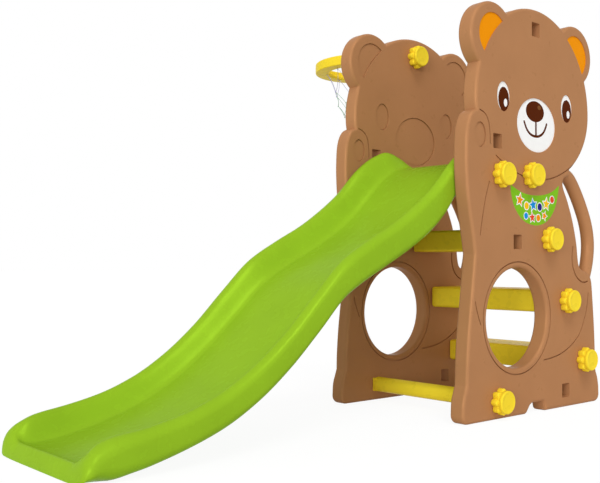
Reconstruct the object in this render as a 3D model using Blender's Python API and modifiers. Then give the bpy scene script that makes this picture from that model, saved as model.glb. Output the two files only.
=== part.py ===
"""Toddler slide: two bear-shaped side panels, a chute, three steps, a crossbar and a ball hoop.

Metres, +Z up. The chute runs down towards -X, the steps climb from +X, the left panel is at -Y and
the hoop hangs outside the right panel at +Y. Shapes are written in a frame whose x is measured from
the front leg of the panels and whose y is midway between them. The parent empty moves the whole
object so that its bounding box stands centred on the world origin.
"""
import math

import bmesh
import bpy
from mathutils import Matrix, Vector

# Side panels, all (x, z) in the plane of the panel
PANEL_THICKNESS = 0.042
PANEL_WALL = 0.003
PANEL_EDGE_ROUND = 0.008
PANEL_GAP = 0.364
HEAD_X = 0.2730
CHIN_Z = 0.5790
HEAD_HALF_WIDTH = 0.2429
HEAD_LOWER_HALF = 0.1930
HEAD_UPPER_HALF = 0.2465
HEAD_CENTRE = (HEAD_X, CHIN_Z + HEAD_LOWER_HALF)
REAR_EAR_REACH = 0.727 * HEAD_HALF_WIDTH
REAR_EAR_LIFT = 0.626 * HEAD_UPPER_HALF
REAR_EAR_RADIUS = 0.328 * HEAD_HALF_WIDTH
FRONT_EAR_REACH = 0.7225 * HEAD_HALF_WIDTH
FRONT_EAR_LIFT = 0.609 * HEAD_UPPER_HALF
FRONT_EAR_RADIUS = 0.349 * HEAD_HALF_WIDTH
BELLY_CENTRE = (0.1937, 0.2409)
BELLY_RADIUS = 0.1238
OUTLINE_TOLERANCE = 0.0004
CORE_TOLERANCE = 0.0012
FOOT_FRONT_X = -0.0195
FOOT_REAR_X = 0.5655
FOOT_CORNER = 0.020
FOOT_NOTCH = (0.226, 0.315)
FOOT_NOTCH_HEIGHT = 0.025
REAR_EDGE = [
    (0.5645, 0.0425), (0.5585, 0.0675), (0.5500, 0.0870), (0.5485, 0.1135), (0.5445, 0.1955),
    (0.5340, 0.3035), (0.5280, 0.3330), (0.5170, 0.3460), (0.5020, 0.3540), (0.4865, 0.3580),
    (0.4720, 0.3670), (0.4650, 0.3860), (0.4575, 0.4320), (0.4400, 0.4885), (0.4170, 0.5387),
    (0.3950, 0.5775), (0.4000, 0.5970), (0.4240, 0.6080), (0.4220, 0.6400),
]
ARM_EDGE = [
    (0.0750, 0.7530), (0.0420, 0.7440), (0.0180, 0.7335), (0.0045, 0.7140), (-0.0030, 0.6860),
    (-0.0055, 0.6450), (-0.0055, 0.6100), (-0.0015, 0.5500), (0.0085, 0.4920), (0.0195, 0.4400),
    (0.0275, 0.3965),
]
LEG_EDGE = [
    (0.0275, 0.3965), (0.0190, 0.3300), (0.0070, 0.2400), (0.0010, 0.1900), (-0.0035, 0.1300),
    (-0.0045, 0.0910),
]
FOOT_EDGE = [(-0.0045, 0.0910), (-0.0100, 0.0750), (-0.0155, 0.0600), (-0.0185, 0.0440)]
EAR_PRINT_REACH = 0.7265 * HEAD_HALF_WIDTH
EAR_PRINT_LIFT = 0.620 * HEAD_UPPER_HALF
EAR_PRINT_RADIUS = 0.226 * HEAD_HALF_WIDTH
EAR_PRINT_EDGE = 0.967
EYE_OFFSET = (0.136, 0.010)
EYE_HALF = (0.026, 0.0365)
MUZZLE_DROP = 0.047
MUZZLE_HALF = (0.083, 0.068)
PRINT_RECESS = 0.0015

FLAT_ANGLE = 0.002

# Handrail tube along the bear's rear arm, centred in the panel's thickness
RAIL_RADIUS = 0.0173
RAIL_LINE = [
    (0.4090, 0.6180), (0.4440, 0.6035), (0.4710, 0.5765), (0.5030, 0.5320), (0.5295, 0.4825),
    (0.5410, 0.4340), (0.5370, 0.3855), (0.5225, 0.3420), (0.5060, 0.3140),
]

# Square holes and the hardware that goes through them
HOLE_SIZE = (0.034, 0.036)
STEP_RISE = 0.159
STEP_RUN = 0.080
STEP_BOTTOM = (0.483, 0.119)
CHUTE_FRONT_MOUNT = (0.122, 0.591)
BAR_MOUNT = (0.114, 0.044)
HOOP_MOUNT = (HEAD_X - 0.0023, HEAD_CENTRE[1] + HEAD_UPPER_HALF - 0.0521)
SPARE_HOLES = [(0.1121, 0.6712), (0.1925, 0.4288), (0.4014, 0.0438)]
SPIGOT_CLEARANCE = 0.0005
SPIGOT_SHORTFALL = 0.004
FIT_GAP = 0.0003
STUD_RADIUS = 0.004
STUD_IN_KNOB = 0.014
STUD_REACH = 0.030
STUD_CLEARANCE = 0.0003
INSERT_WALL = 0.0028
INSERT_LENGTH = 0.020
INSERT_CLEARANCE = 0.0003
STUD_TIP_ROOM = 0.004

# Knobs
KNOB_LOBES = 8
KNOB_POINTS_PER_LOBE = 3
KNOB_RADIUS = 0.0325
KNOB_LOBE_DEPTH = 0.0055
KNOB_WHEEL = 0.018
KNOB_CAP_RADIUS = 0.0280
KNOB_HEIGHT = 0.029
KNOB_CAP_ROUND = 0.003

# Chute: rim crest, bed and underside lines as (x, z), and sizes of its cross-section
CHUTE_HALF_WIDTH = 0.1815
CHUTE_WALL = 0.003
CHUTE_BED_HALF = 0.112
CHUTE_RIM_ROUND = 0.021
CHUTE_FOOT_ROUND = 0.022
CHUTE_TOE_X = -0.955
CHUTE_DECK_END = 0.309
CHUTE_TOE_PLAN_ROUND = 0.022
CHUTE_TOE_FOOT_LENGTH = 0.090
CHUTE_TOE_FOOT_EXTRA = 0.070
CHUTE_LIP_ROUND = 0.026
CHUTE_STATION_STEP = 0.048
RIM_LINE = [
    (-0.955, 0.006), (-0.949, 0.033), (-0.940, 0.049), (-0.920, 0.065), (-0.890, 0.076), (-0.820, 0.086),
    (-0.740, 0.103), (-0.660, 0.132), (-0.580, 0.177), (-0.500, 0.238), (-0.420, 0.314), (-0.340, 0.386),
    (-0.260, 0.431), (-0.180, 0.471), (-0.110, 0.514), (-0.050, 0.558), (0.030, 0.632), (0.085, 0.666),
    (0.130, 0.680), (0.175, 0.668), (0.221, 0.640), (0.255, 0.637), (0.309, 0.637),
]
BED_LINE = [
    (-0.929, 0.026), (-0.900, 0.027), (-0.820, 0.038), (-0.740, 0.058), (-0.660, 0.086), (-0.580, 0.127),
    (-0.500, 0.184), (-0.420, 0.254), (-0.340, 0.326), (-0.290, 0.358), (-0.240, 0.383), (-0.155, 0.424),
    (-0.090, 0.461), (-0.020, 0.513), (0.032, 0.562), (0.080, 0.603), (0.128, 0.627), (0.185, 0.637),
    (0.309, 0.637),
]
UNDERSIDE_LINE = [
    (-0.955, 0.0), (-0.905, 0.0), (-0.860, 0.008), (-0.820, 0.016), (-0.740, 0.036), (-0.660, 0.063),
    (-0.580, 0.104), (-0.500, 0.161), (-0.420, 0.232), (-0.346, 0.301), (-0.295, 0.331), (-0.223, 0.366),
    (-0.142, 0.406), (-0.073, 0.447), (-0.019, 0.493), (0.018, 0.536), (0.060, 0.560), (0.100, 0.562),
    (0.309, 0.562),
]

# Steps and crossbar
STEP_HEIGHT = 0.059
STEP_DEPTH = 0.128
STEP_WALL = 0.003
STEP_EDGE_ROUND = 0.008
BAR_RADIUS = 0.020
BAR_WALL = 0.003
BAR_EDGE_ROUND = 0.006
DRAIN_RADIUS = 0.004
DRAIN_LENGTH = 0.020

# Hoop and net
HOOP_RADIUS = 0.152
HOOP_HEIGHT = 0.028
HOOP_TOP_WIDTH = 0.022
HOOP_FLANGE_WIDTH = 0.040
HOOP_FLANGE_HEIGHT = 0.009
HOOP_WALL = 0.003
HOOP_STANDOFF = 0.006
HOOP_BRACKET_WIDTH = 0.070
HOOP_STEPS = 36
NET_RING_SHARES = [(0.776, 0.0), (0.605, 0.362), (0.460, 0.691), (0.342, 0.987)]
NET_THICKNESS = 0.001
NET_STEPS = 24

# Finishes: colour, roughness
BROWN = ((0.434, 0.209, 0.093), 0.42)
YELLOW = ((0.930, 0.640, 0.020), 0.35)
GREEN = ((0.260, 0.500, 0.020), 0.33)
STEEL = ((0.600, 0.600, 0.620), 0.30)
WHITE = ((0.850, 0.850, 0.900), 0.80)

OUTER_Y = PANEL_GAP / 2 + PANEL_THICKNESS
INNER_Y = PANEL_GAP / 2
MID_Y = PANEL_GAP / 2 + PANEL_THICKNESS / 2
HOOP_CENTRE_Y = OUTER_Y + HOOP_STANDOFF + HOOP_RADIUS
CENTRE_X = (CHUTE_TOE_X + FOOT_REAR_X) / 2
CENTRE_Y = (HOOP_CENTRE_Y + HOOP_RADIUS - OUTER_Y - FIT_GAP - KNOB_HEIGHT) / 2


def step_mount(index):
    """Centre of the square hole of step number index, counted from the bottom."""
    return (STEP_BOTTOM[0] - STEP_RUN * index, STEP_BOTTOM[1] + STEP_RISE * index)


MOUNTS = {
    "bar": BAR_MOUNT,
    "step_bottom": step_mount(0),
    "step_middle": step_mount(1),
    "step_top": step_mount(2),
    "chute_rear": step_mount(3),
    "chute_front": CHUTE_FRONT_MOUNT,
}


# Curves and outlines

def smooth(points, per_span=3):
    """Points along a Catmull-Rom curve through the given points."""
    out = []
    last = len(points) - 1
    for i in range(last):
        p0 = Vector(points[max(i - 1, 0)])
        p1 = Vector(points[i])
        p2 = Vector(points[i + 1])
        p3 = Vector(points[min(i + 2, last)])
        for k in range(per_span):
            t = k / per_span
            a = 2 * p1 + (p2 - p0) * t
            b = (2 * p0 - 5 * p1 + 4 * p2 - p3) * t * t
            c = (3 * p1 - p0 - 3 * p2 + p3) * t * t * t
            out.append(tuple((a + b + c) / 2))
    out.append(tuple(points[-1]))
    return out


def arc(centre, half_x, half_z, start, end, count):
    """Points on an ellipse from angle start to end, in degrees, both ends included."""
    out = []
    for i in range(count + 1):
        angle = math.radians(start + (end - start) * i / count)
        out.append((centre[0] + half_x * math.cos(angle), centre[1] + half_z * math.sin(angle)))
    return out


def crossing(a0, a1, b0, b1):
    """Where segment a0-a1 meets segment b0-b1, or None."""
    ax, az = a1[0] - a0[0], a1[1] - a0[1]
    bx, bz = b1[0] - b0[0], b1[1] - b0[1]
    det = ax * bz - az * bx
    if abs(det) < 1e-12:
        return None
    s = ((b0[0] - a0[0]) * bz - (b0[1] - a0[1]) * bx) / det
    t = ((b0[0] - a0[0]) * az - (b0[1] - a0[1]) * ax) / det
    if 0 <= s <= 1 and 0 <= t <= 1:
        return (a0[0] + ax * s, a0[1] + az * s)
    return None


def splice(path, following):
    """Walks path until it first crosses following, and goes on along following from there."""
    for i in range(1, len(path) - 1):
        for j in range(len(following) - 1):
            meet = crossing(path[i], path[i + 1], following[j], following[j + 1])
            if meet:
                return path[:i + 1] + [meet] + following[j + 1:]
    return path + following


def simplified(points, tolerance):
    """Drops the points of an open line that lie within tolerance of the line without them."""
    first, last = points[0], points[-1]
    dx, dz = last[0] - first[0], last[1] - first[1]
    length = math.hypot(dx, dz) or 1.0
    offsets = [abs((x - first[0]) * dz - (z - first[1]) * dx) / length for x, z in points]
    worst = max(range(len(points)), key=offsets.__getitem__)
    if offsets[worst] <= tolerance:
        return [first, last]
    return simplified(points[:worst + 1], tolerance) + simplified(points[worst:], tolerance)[1:]


def along(line, x):
    """Height of a line of (x, z) points at x, by a monotone cubic between them."""
    if x <= line[0][0]:
        return line[0][1]
    if x >= line[-1][0]:
        return line[-1][1]
    slopes = [(b[1] - a[1]) / (b[0] - a[0]) for a, b in zip(line, line[1:])]
    i = max(k for k in range(len(line) - 1) if line[k][0] <= x)

    def tangent(k):
        if k == 0 or k == len(line) - 1:
            return slopes[min(k, len(slopes) - 1)]
        before, after = slopes[k - 1], slopes[k]
        if before * after <= 0:
            return 0.0
        return 2 * before * after / (before + after)

    (x0, z0), (x1, z1) = line[i], line[i + 1]
    h = x1 - x0
    t = (x - x0) / h
    first = (2 * t ** 3 - 3 * t ** 2 + 1) * z0 + (t ** 3 - 2 * t ** 2 + t) * h * tangent(i)
    return first + (-2 * t ** 3 + 3 * t ** 2) * z1 + (t ** 3 - t ** 2) * h * tangent(i + 1)


def head_arc(start, end, count, scale=1.0):
    """Points on the head's contour from angle start to end, in degrees; the lower half is flatter."""
    out = []
    for i in range(count + 1):
        angle = math.radians(start + (end - start) * i / count)
        half_z = HEAD_UPPER_HALF if math.sin(angle) > 0 else HEAD_LOWER_HALF
        x = HEAD_CENTRE[0] + scale * HEAD_HALF_WIDTH * math.cos(angle)
        out.append((x, HEAD_CENTRE[1] + scale * half_z * math.sin(angle)))
    return out


def panel_outline(tolerance):
    """Bear outline, anticlockwise from the front foot: rear edge, head with two ears, front edge."""
    low, high = FOOT_NOTCH
    top = FOOT_NOTCH_HEIGHT
    corner = FOOT_CORNER
    bottom = arc((FOOT_FRONT_X + corner, corner), corner, corner, 180, 270, 4)
    bottom += [(low, 0), (low + 0.004, 0.003), (low + 0.009, top - 0.006), (low + 0.015, top)]
    bottom += [(high - 0.015, top), (high - 0.009, top - 0.006), (high - 0.004, 0.003), (high, 0)]
    bottom += arc((FOOT_REAR_X - corner, corner), corner, corner, 270, 360, 4)
    rear = smooth(REAR_EDGE, 2)
    front = smooth(ARM_EDGE, 2) + smooth(LEG_EDGE, 2)[1:] + smooth(FOOT_EDGE, 2)[1:]
    ear_rear = (HEAD_CENTRE[0] + REAR_EAR_REACH, HEAD_CENTRE[1] + REAR_EAR_LIFT)
    ear_front = (HEAD_CENTRE[0] - FRONT_EAR_REACH, HEAD_CENTRE[1] + FRONT_EAR_LIFT)
    outline = splice(bottom + rear, head_arc(-70, 45, 20))
    outline = splice(outline, arc(ear_rear, REAR_EAR_RADIUS, REAR_EAR_RADIUS, -100, 190, 24))
    outline = splice(outline, head_arc(50, 230, 32))
    outline = splice(outline, arc(ear_front, FRONT_EAR_RADIUS, FRONT_EAR_RADIUS, -10, 280, 24))
    outline = splice(outline, head_arc(135, 240, 18))
    return simplified(splice(outline, front), tolerance)


# Blender helpers

def clear_scene():
    for obj in list(bpy.data.objects):
        bpy.data.objects.remove(obj, do_unlink=True)


def new_collection(name):
    collection = bpy.data.collections.new(name)
    bpy.context.scene.collection.children.link(collection)
    return collection


def finish_material(name, finish, metallic=0.0):
    colour, roughness = finish
    material = bpy.data.materials.new(name)
    material.use_nodes = True
    shader = material.node_tree.nodes["Principled BSDF"]
    shader.inputs["Base Color"].default_value = (*colour, 1.0)
    shader.inputs["Roughness"].default_value = roughness
    shader.inputs["Metallic"].default_value = metallic
    material.diffuse_color = (*colour, 1.0)
    return material


def add_object(name, mesh, collection, material=None, at=(0, 0, 0), turn=(0, 0, 0)):
    obj = bpy.data.objects.new(name, mesh)
    obj.location = at
    obj.rotation_euler = turn
    collection.objects.link(obj)
    if material is not None:
        if not mesh.materials:
            mesh.materials.append(material)
        obj.parent = root
    else:
        obj.hide_render = True
        obj.display_type = "WIRE"
    return obj


def mesh_from(builder, name):
    """A mesh filled by builder(bm), with normals made to point out."""
    bm = bmesh.new()
    builder(bm)
    bmesh.ops.recalc_face_normals(bm, faces=bm.faces)
    mesh = bpy.data.meshes.new(name)
    bm.to_mesh(mesh)
    bm.free()
    return mesh


def cutter(name, builder):
    """A Boolean helper in the same frame as the parts, filled by builder(bm)."""
    obj = add_object(name, mesh_from(builder, name), cutters)
    obj.parent = root
    return obj


def add_box(bm, low, high):
    size = [h - l for l, h in zip(low, high)]
    centre = [(h + l) / 2 for l, h in zip(low, high)]
    matrix = Matrix.Translation(centre) @ Matrix.Diagonal((*size, 1.0))
    return bmesh.ops.create_cube(bm, size=1.0, matrix=matrix)


def add_rod(bm, start, end, radius, sides):
    """A closed cylinder between two points."""
    start, end = Vector(start), Vector(end)
    along_axis = end - start
    turn = along_axis.to_track_quat("Z", "Y").to_matrix().to_4x4()
    matrix = Matrix.Translation((start + end) / 2) @ turn
    bmesh.ops.create_cone(bm, cap_ends=True, segments=sides, radius1=radius, radius2=radius,
                          depth=along_axis.length, matrix=matrix)


def curve_mesh(name, curve):
    """The evaluated mesh of a curve, with its loose caps welded on."""
    obj = bpy.data.objects.new(name + "_curve", curve)
    bpy.context.scene.collection.objects.link(obj)
    bpy.context.view_layer.update()
    evaluated = obj.evaluated_get(bpy.context.evaluated_depsgraph_get())
    mesh = bpy.data.meshes.new_from_object(evaluated)
    bpy.data.objects.remove(obj, do_unlink=True)
    bm = bmesh.new()
    bm.from_mesh(mesh)
    bmesh.ops.remove_doubles(bm, verts=bm.verts, dist=0.00002)
    bmesh.ops.recalc_face_normals(bm, faces=bm.faces)
    merge_flat(bm)
    bm.to_mesh(mesh)
    bm.free()
    mesh.name = name
    return mesh


def merge_flat(bm):
    """Joins faces that lie in one plane, and drops the needless points on straight edges."""
    bmesh.ops.dissolve_limit(bm, angle_limit=FLAT_ANGLE, verts=bm.verts, edges=bm.edges)


def flat_curve(name, outlines, half_thickness, edge_round=0.0, offset=0.0):
    """A filled 2D curve through closed (x, z) outlines, lying in its own x and y."""
    curve = bpy.data.curves.new(name, "CURVE")
    curve.dimensions = "2D"
    curve.fill_mode = "BOTH"
    for outline in outlines:
        spline = curve.splines.new("POLY")
        spline.points.add(len(outline) - 1)
        for point, (x, z) in zip(spline.points, outline):
            point.co = (x, z, 0, 1)
        spline.use_cyclic_u = True
    curve.extrude = half_thickness - edge_round
    curve.bevel_depth = edge_round
    curve.bevel_resolution = 1 if edge_round else 0
    curve.offset = offset - edge_round
    return curve


def tube_curve(name, points, radius, resolution):
    curve = bpy.data.curves.new(name, "CURVE")
    curve.dimensions = "3D"
    spline = curve.splines.new("POLY")
    spline.points.add(len(points) - 1)
    for point, co in zip(spline.points, points):
        point.co = (*co, 1)
    curve.bevel_depth = radius
    curve.bevel_resolution = resolution
    curve.use_fill_caps = True
    return curve


def stand_up(mesh):
    """Turns a flat shape drawn in x and y into one drawn in x and z, thickness along y."""
    mesh.transform(Matrix.Rotation(math.radians(90), 4, "X"))
    return mesh


def boolean(obj, other, operation):
    modifier = obj.modifiers.new(operation.lower() + "_" + other.name, "BOOLEAN")
    modifier.operation = operation
    modifier.object = other
    modifier.solver = "EXACT"


def bevel(obj, width, segments):
    modifier = obj.modifiers.new("edges", "BEVEL")
    modifier.width = width
    modifier.segments = segments
    modifier.limit_method = "ANGLE"
    modifier.angle_limit = math.radians(40)


def applied(obj):
    """The object's evaluated mesh as a new mesh, in the object's own space."""
    bpy.context.view_layer.update()
    evaluated = obj.evaluated_get(bpy.context.evaluated_depsgraph_get())
    mesh = bpy.data.meshes.new_from_object(evaluated)
    bm = bmesh.new()
    bm.from_mesh(mesh)
    bmesh.ops.recalc_face_normals(bm, faces=bm.faces)
    merge_flat(bm)
    bm.to_mesh(mesh)
    bm.free()
    return mesh


def smooth_shade(mesh, degrees=35):
    mesh.shade_smooth()
    mesh.set_sharp_from_angle(angle=math.radians(degrees))


# Side panels

def square_hole(bm, mount, half_depth):
    half_x, half_z = HOLE_SIZE[0] / 2, HOLE_SIZE[1] / 2
    low = (mount[0] - half_x, -half_depth, mount[1] - half_z)
    high = (mount[0] + half_x, half_depth, mount[1] + half_z)
    add_box(bm, low, high)


def all_holes():
    return [*MOUNTS.values(), HOOP_MOUNT, *SPARE_HOLES]


def square_outline(mount):
    half_x, half_z = HOLE_SIZE[0] / 2, HOLE_SIZE[1] / 2
    x, z = mount
    low, high = z - half_z, z + half_z
    return [(x - half_x, low), (x + half_x, low), (x + half_x, high), (x - half_x, high)]


def print_recesses():
    """Outlines of the shallow recesses for the printed eyes and muzzle."""
    cx, cz = HEAD_CENTRE
    eye_x, eye_z = EYE_OFFSET
    outlines = [arc((cx + side * eye_x, cz + eye_z), *EYE_HALF, 0, 330, 11) for side in (-1, 1)]
    outlines.append(arc((cx, cz - MUZZLE_DROP), *MUZZLE_HALF, 0, 345, 23))
    for side in (-1, 1):
        outlines.append(ear_recess(side))
    return outlines


def head_angle(point):
    """Angle on the head's upper contour, in degrees, of the ray from its centre through a point."""
    across = (point[0] - HEAD_CENTRE[0]) / HEAD_HALF_WIDTH
    up = (point[1] - HEAD_CENTRE[1]) / HEAD_UPPER_HALF
    return math.degrees(math.atan2(up, across))


def ear_recess(side):
    """Crescent between a circle inside the ear and a line that follows the head's contour."""
    cx, cz = HEAD_CENTRE
    half_x, half_z = HEAD_HALF_WIDTH * EAR_PRINT_EDGE, HEAD_UPPER_HALF * EAR_PRINT_EDGE
    centre = (cx + EAR_PRINT_REACH, cz + EAR_PRINT_LIFT)
    inside = []
    for x, z in arc(centre, EAR_PRINT_RADIUS, EAR_PRINT_RADIUS, -105, 195, 18):
        if math.hypot((x - cx) / half_x, (z - cz) / half_z) > 1:
            inside.append((x, z))
    edge = head_arc(head_angle(inside[-1]), head_angle(inside[0]), 5, EAR_PRINT_EDGE)
    outline = inside + edge[1:-1]
    if side < 0:
        outline = [(2 * cx - x, z) for x, z in reversed(outline)]
    return outline


def panel_mesh():
    """One hollow panel, centred on y = 0, with its handrail, holes and recesses."""
    belly = arc(BELLY_CENTRE, BELLY_RADIUS, BELLY_RADIUS, 0, 351, 39)
    outline = panel_outline(OUTLINE_TOLERANCE)
    half = PANEL_THICKNESS / 2
    skin = stand_up(curve_mesh("panel_skin", flat_curve("skin", [outline, belly], half, PANEL_EDGE_ROUND)))
    panel = add_object("panel_blank", skin, cutters)
    rail_points = [(x, 0, z) for x, z in smooth(RAIL_LINE, 2)]
    rail = add_object("rail", curve_mesh("rail", tube_curve("rail", rail_points, RAIL_RADIUS, 2)), cutters)
    hollows = [panel_outline(CORE_TOLERANCE), belly] + [square_outline(mount) for mount in all_holes()]
    core_curve = flat_curve("core", hollows, half - PANEL_WALL, 0.0, -PANEL_WALL)
    core = add_object("panel_core", stand_up(curve_mesh("panel_core", core_curve)), cutters)
    bore_curve = tube_curve("rail_bore", rail_points[1:-1], RAIL_RADIUS - PANEL_WALL, 1)
    rail_bore = curve_mesh("rail_bore", bore_curve)
    bore = add_object("rail_bore", rail_bore, cutters)

    def holes(bm):
        for mount in all_holes():
            square_hole(bm, mount, PANEL_THICKNESS)
        drain_x = FOOT_FRONT_X + 3 * FOOT_CORNER
        add_rod(bm, (drain_x, 0, -PANEL_WALL), (drain_x, 0, 2 * PANEL_WALL), DRAIN_RADIUS, 10)

    hole_cutter = add_object("panel_holes", mesh_from(holes, "panel_holes"), cutters)
    boolean(panel, rail, "UNION")
    boolean(panel, core, "DIFFERENCE")
    boolean(panel, bore, "DIFFERENCE")
    boolean(panel, hole_cutter, "DIFFERENCE")
    for number, outline_2d in enumerate(print_recesses()):
        for side in (-1, 1):
            mesh = stand_up(curve_mesh("print", flat_curve("print", [outline_2d], PRINT_RECESS)))
            cutter = add_object(f"print_{number}_{side}", mesh, cutters, at=(0, side * half, 0))
            boolean(panel, cutter, "DIFFERENCE")
    mesh = applied(panel)
    smooth_shade(mesh)
    mesh.name = "panel"
    return mesh


# Spigots, which enter the square holes from the panels' inner faces

def spigot_box(bm, mount, base_y, end_y):
    half_x = HOLE_SIZE[0] / 2 - SPIGOT_CLEARANCE
    half_z = HOLE_SIZE[1] / 2 - SPIGOT_CLEARANCE
    low = (mount[0] - half_x, min(base_y, end_y), mount[1] - half_z)
    high = (mount[0] + half_x, max(base_y, end_y), mount[1] + half_z)
    add_box(bm, low, high)


def spigot_end(side):
    """y of a spigot's end face on a side panel; side is -1 for left and 1 for right."""
    return side * (OUTER_Y - SPIGOT_SHORTFALL)


def insert_bore(bm, mount, end_y, inward):
    """Bore for the insert and the stud's tip; inward is the way from the end face into the spigot."""
    depth = STUD_REACH - SPIGOT_SHORTFALL + STUD_TIP_ROOM
    radius = STUD_RADIUS + STUD_CLEARANCE + INSERT_WALL + INSERT_CLEARANCE
    start = (mount[0], end_y - inward * INSERT_LENGTH, mount[1])
    add_rod(bm, start, (mount[0], end_y + inward * depth, mount[1]), radius, 12)


def add_ends(obj, mounts, root_y):
    """Joins a spigot to both ends of a crosswise piece at each mount, and bores them."""
    def spigots(bm):
        for mount in mounts:
            for side in (-1, 1):
                spigot_box(bm, mount, side * root_y, spigot_end(side))

    def bores(bm):
        for mount in mounts:
            for side in (-1, 1):
                insert_bore(bm, mount, spigot_end(side), -side)

    boolean(obj, cutter(obj.name + "_spigots", spigots), "UNION")
    boolean(obj, cutter(obj.name + "_bores", bores), "DIFFERENCE")


def hollow(obj, core, drain_at):
    """Cuts the core out of a moulding and opens the inside below with a small drain hole."""
    def drain(bm):
        x, y, z = drain_at
        add_rod(bm, (x, y, z - DRAIN_LENGTH / 2), (x, y, z + DRAIN_LENGTH / 2), DRAIN_RADIUS, 10)

    boolean(obj, core, "DIFFERENCE")
    boolean(obj, cutter(obj.name + "_drain", drain), "DIFFERENCE")


# Chute

def chute_section(x, inset, corner_steps, slope_steps):
    """Closed loop of (y, z) points of the chute's cross-section at x, moved in by inset."""
    from_toe = x - CHUTE_TOE_X
    narrowing = 0.0
    if from_toe < CHUTE_TOE_PLAN_ROUND:
        left = CHUTE_TOE_PLAN_ROUND - from_toe
        narrowing = CHUTE_TOE_PLAN_ROUND - math.sqrt(CHUTE_TOE_PLAN_ROUND ** 2 - left ** 2)
    half_width = CHUTE_HALF_WIDTH - inset - narrowing
    rim = along(RIM_LINE, x) - inset
    bed = along(BED_LINE, x) - inset
    under = along(UNDERSIDE_LINE, x) + inset
    if from_toe < CHUTE_LIP_ROUND:
        bed *= math.sqrt(1 - (1 - from_toe / CHUTE_LIP_ROUND) ** 2) * 0.8 + 0.2
    rim = max(rim, bed)
    room = (rim - under) * 0.45
    rim_round = min(CHUTE_RIM_ROUND - inset, room)
    foot_height = min(CHUTE_FOOT_ROUND - inset, room)
    foot_width = foot_height
    if from_toe < CHUTE_TOE_FOOT_LENGTH:
        foot_width += CHUTE_TOE_FOOT_EXTRA * (1 - from_toe / CHUTE_TOE_FOOT_LENGTH) ** 2
    half = [(0.0, under)]
    foot = (half_width - foot_width, under + foot_height)
    half += arc(foot, foot_width, foot_height, -90, 0, corner_steps)
    half += arc((half_width - rim_round, rim - rim_round), rim_round, rim_round, 0, 90, corner_steps)
    crest = half_width - rim_round
    bed_half = CHUTE_BED_HALF + inset - narrowing
    for k in range(1, slope_steps + 1):
        u = 1 - k / slope_steps
        rise = (1 - math.cos(math.pi * u)) / 2
        half.append((bed_half + (crest - bed_half) * u, bed + (rim - bed) * rise))
    half.append((0.0, bed))
    other = [(-y, z) for y, z in reversed(half[1:-1])]
    return half + other


def chute_stations(start, end):
    """x of the sections: close together at the toe, evenly spaced beyond it."""
    stations = []
    step = CHUTE_LIP_ROUND / 5
    x = start
    while x < end - CHUTE_STATION_STEP / 2:
        stations.append(x)
        step = min(step * 1.6, CHUTE_STATION_STEP)
        x += step
    stations.append(end)
    return stations


def loft(bm, stations, inset, corner_steps, slope_steps):
    """Skin over the chute's cross-sections, closed by a flat face at each end."""
    rings = []
    for x in stations:
        section = chute_section(x, inset, corner_steps, slope_steps)
        rings.append([bm.verts.new((x, y, z)) for y, z in section])
    count = len(rings[0])
    for one, two in zip(rings, rings[1:]):
        for i in range(count):
            j = (i + 1) % count
            bm.faces.new((one[i], one[j], two[j], two[i]))
    bm.faces.new(rings[0])
    bm.faces.new(rings[-1])


def make_chute():
    stations = chute_stations(CHUTE_TOE_X, CHUTE_DECK_END)
    mesh = mesh_from(lambda bm: loft(bm, stations, 0.0, 3, 6), "chute")
    smooth_shade(mesh, 50)
    chute = add_object("chute", mesh, parts, green)
    inner = [x for x in stations if CHUTE_TOE_X + CHUTE_LIP_ROUND < x < CHUTE_DECK_END - CHUTE_WALL]
    inner.append(CHUTE_DECK_END - CHUTE_WALL)
    core = cutter("chute_core", lambda bm: loft(bm, inner, CHUTE_WALL, 2, 4))
    rear_mount = MOUNTS["chute_rear"]
    hollow(chute, core, (rear_mount[0], 0, UNDERSIDE_LINE[-1][1]))
    add_ends(chute, [MOUNTS["chute_front"], rear_mount], CHUTE_HALF_WIDTH - CHUTE_WALL / 2)


# Steps and crossbar

def make_step(name):
    x, z = MOUNTS[name]
    half_y = INNER_Y - FIT_GAP

    def box(bm, inset=0.0):
        low = (x - STEP_DEPTH / 2 + inset, -half_y + inset, z - STEP_HEIGHT / 2 + inset)
        high = (x + STEP_DEPTH / 2 - inset, half_y - inset, z + STEP_HEIGHT / 2 - inset)
        add_box(bm, low, high)

    step = add_object(name, mesh_from(box, name), parts, yellow)
    bevel(step, STEP_EDGE_ROUND, 2)
    core = cutter(name + "_core", lambda bm: box(bm, STEP_WALL))
    bevel(core, STEP_EDGE_ROUND - STEP_WALL, 1)
    hollow(step, core, (x, 0, z - STEP_HEIGHT / 2))
    add_ends(step, [MOUNTS[name]], half_y - STEP_WALL / 2)


def make_bar():
    x, z = MOUNTS["bar"]
    half_y = INNER_Y - FIT_GAP

    def rod(bm, inset=0.0):
        add_rod(bm, (x, -half_y + inset, z), (x, half_y - inset, z), BAR_RADIUS - inset, 16)

    bar = add_object("crossbar", mesh_from(rod, "crossbar"), parts, yellow)
    bevel(bar, BAR_EDGE_ROUND, 2)
    core = cutter("crossbar_core", lambda bm: rod(bm, BAR_WALL))
    bevel(core, BAR_EDGE_ROUND - BAR_WALL, 1)
    hollow(bar, core, (x, 0, z - BAR_RADIUS))
    add_ends(bar, [MOUNTS["bar"]], half_y - BAR_WALL / 2)


# Hoop and net

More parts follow.
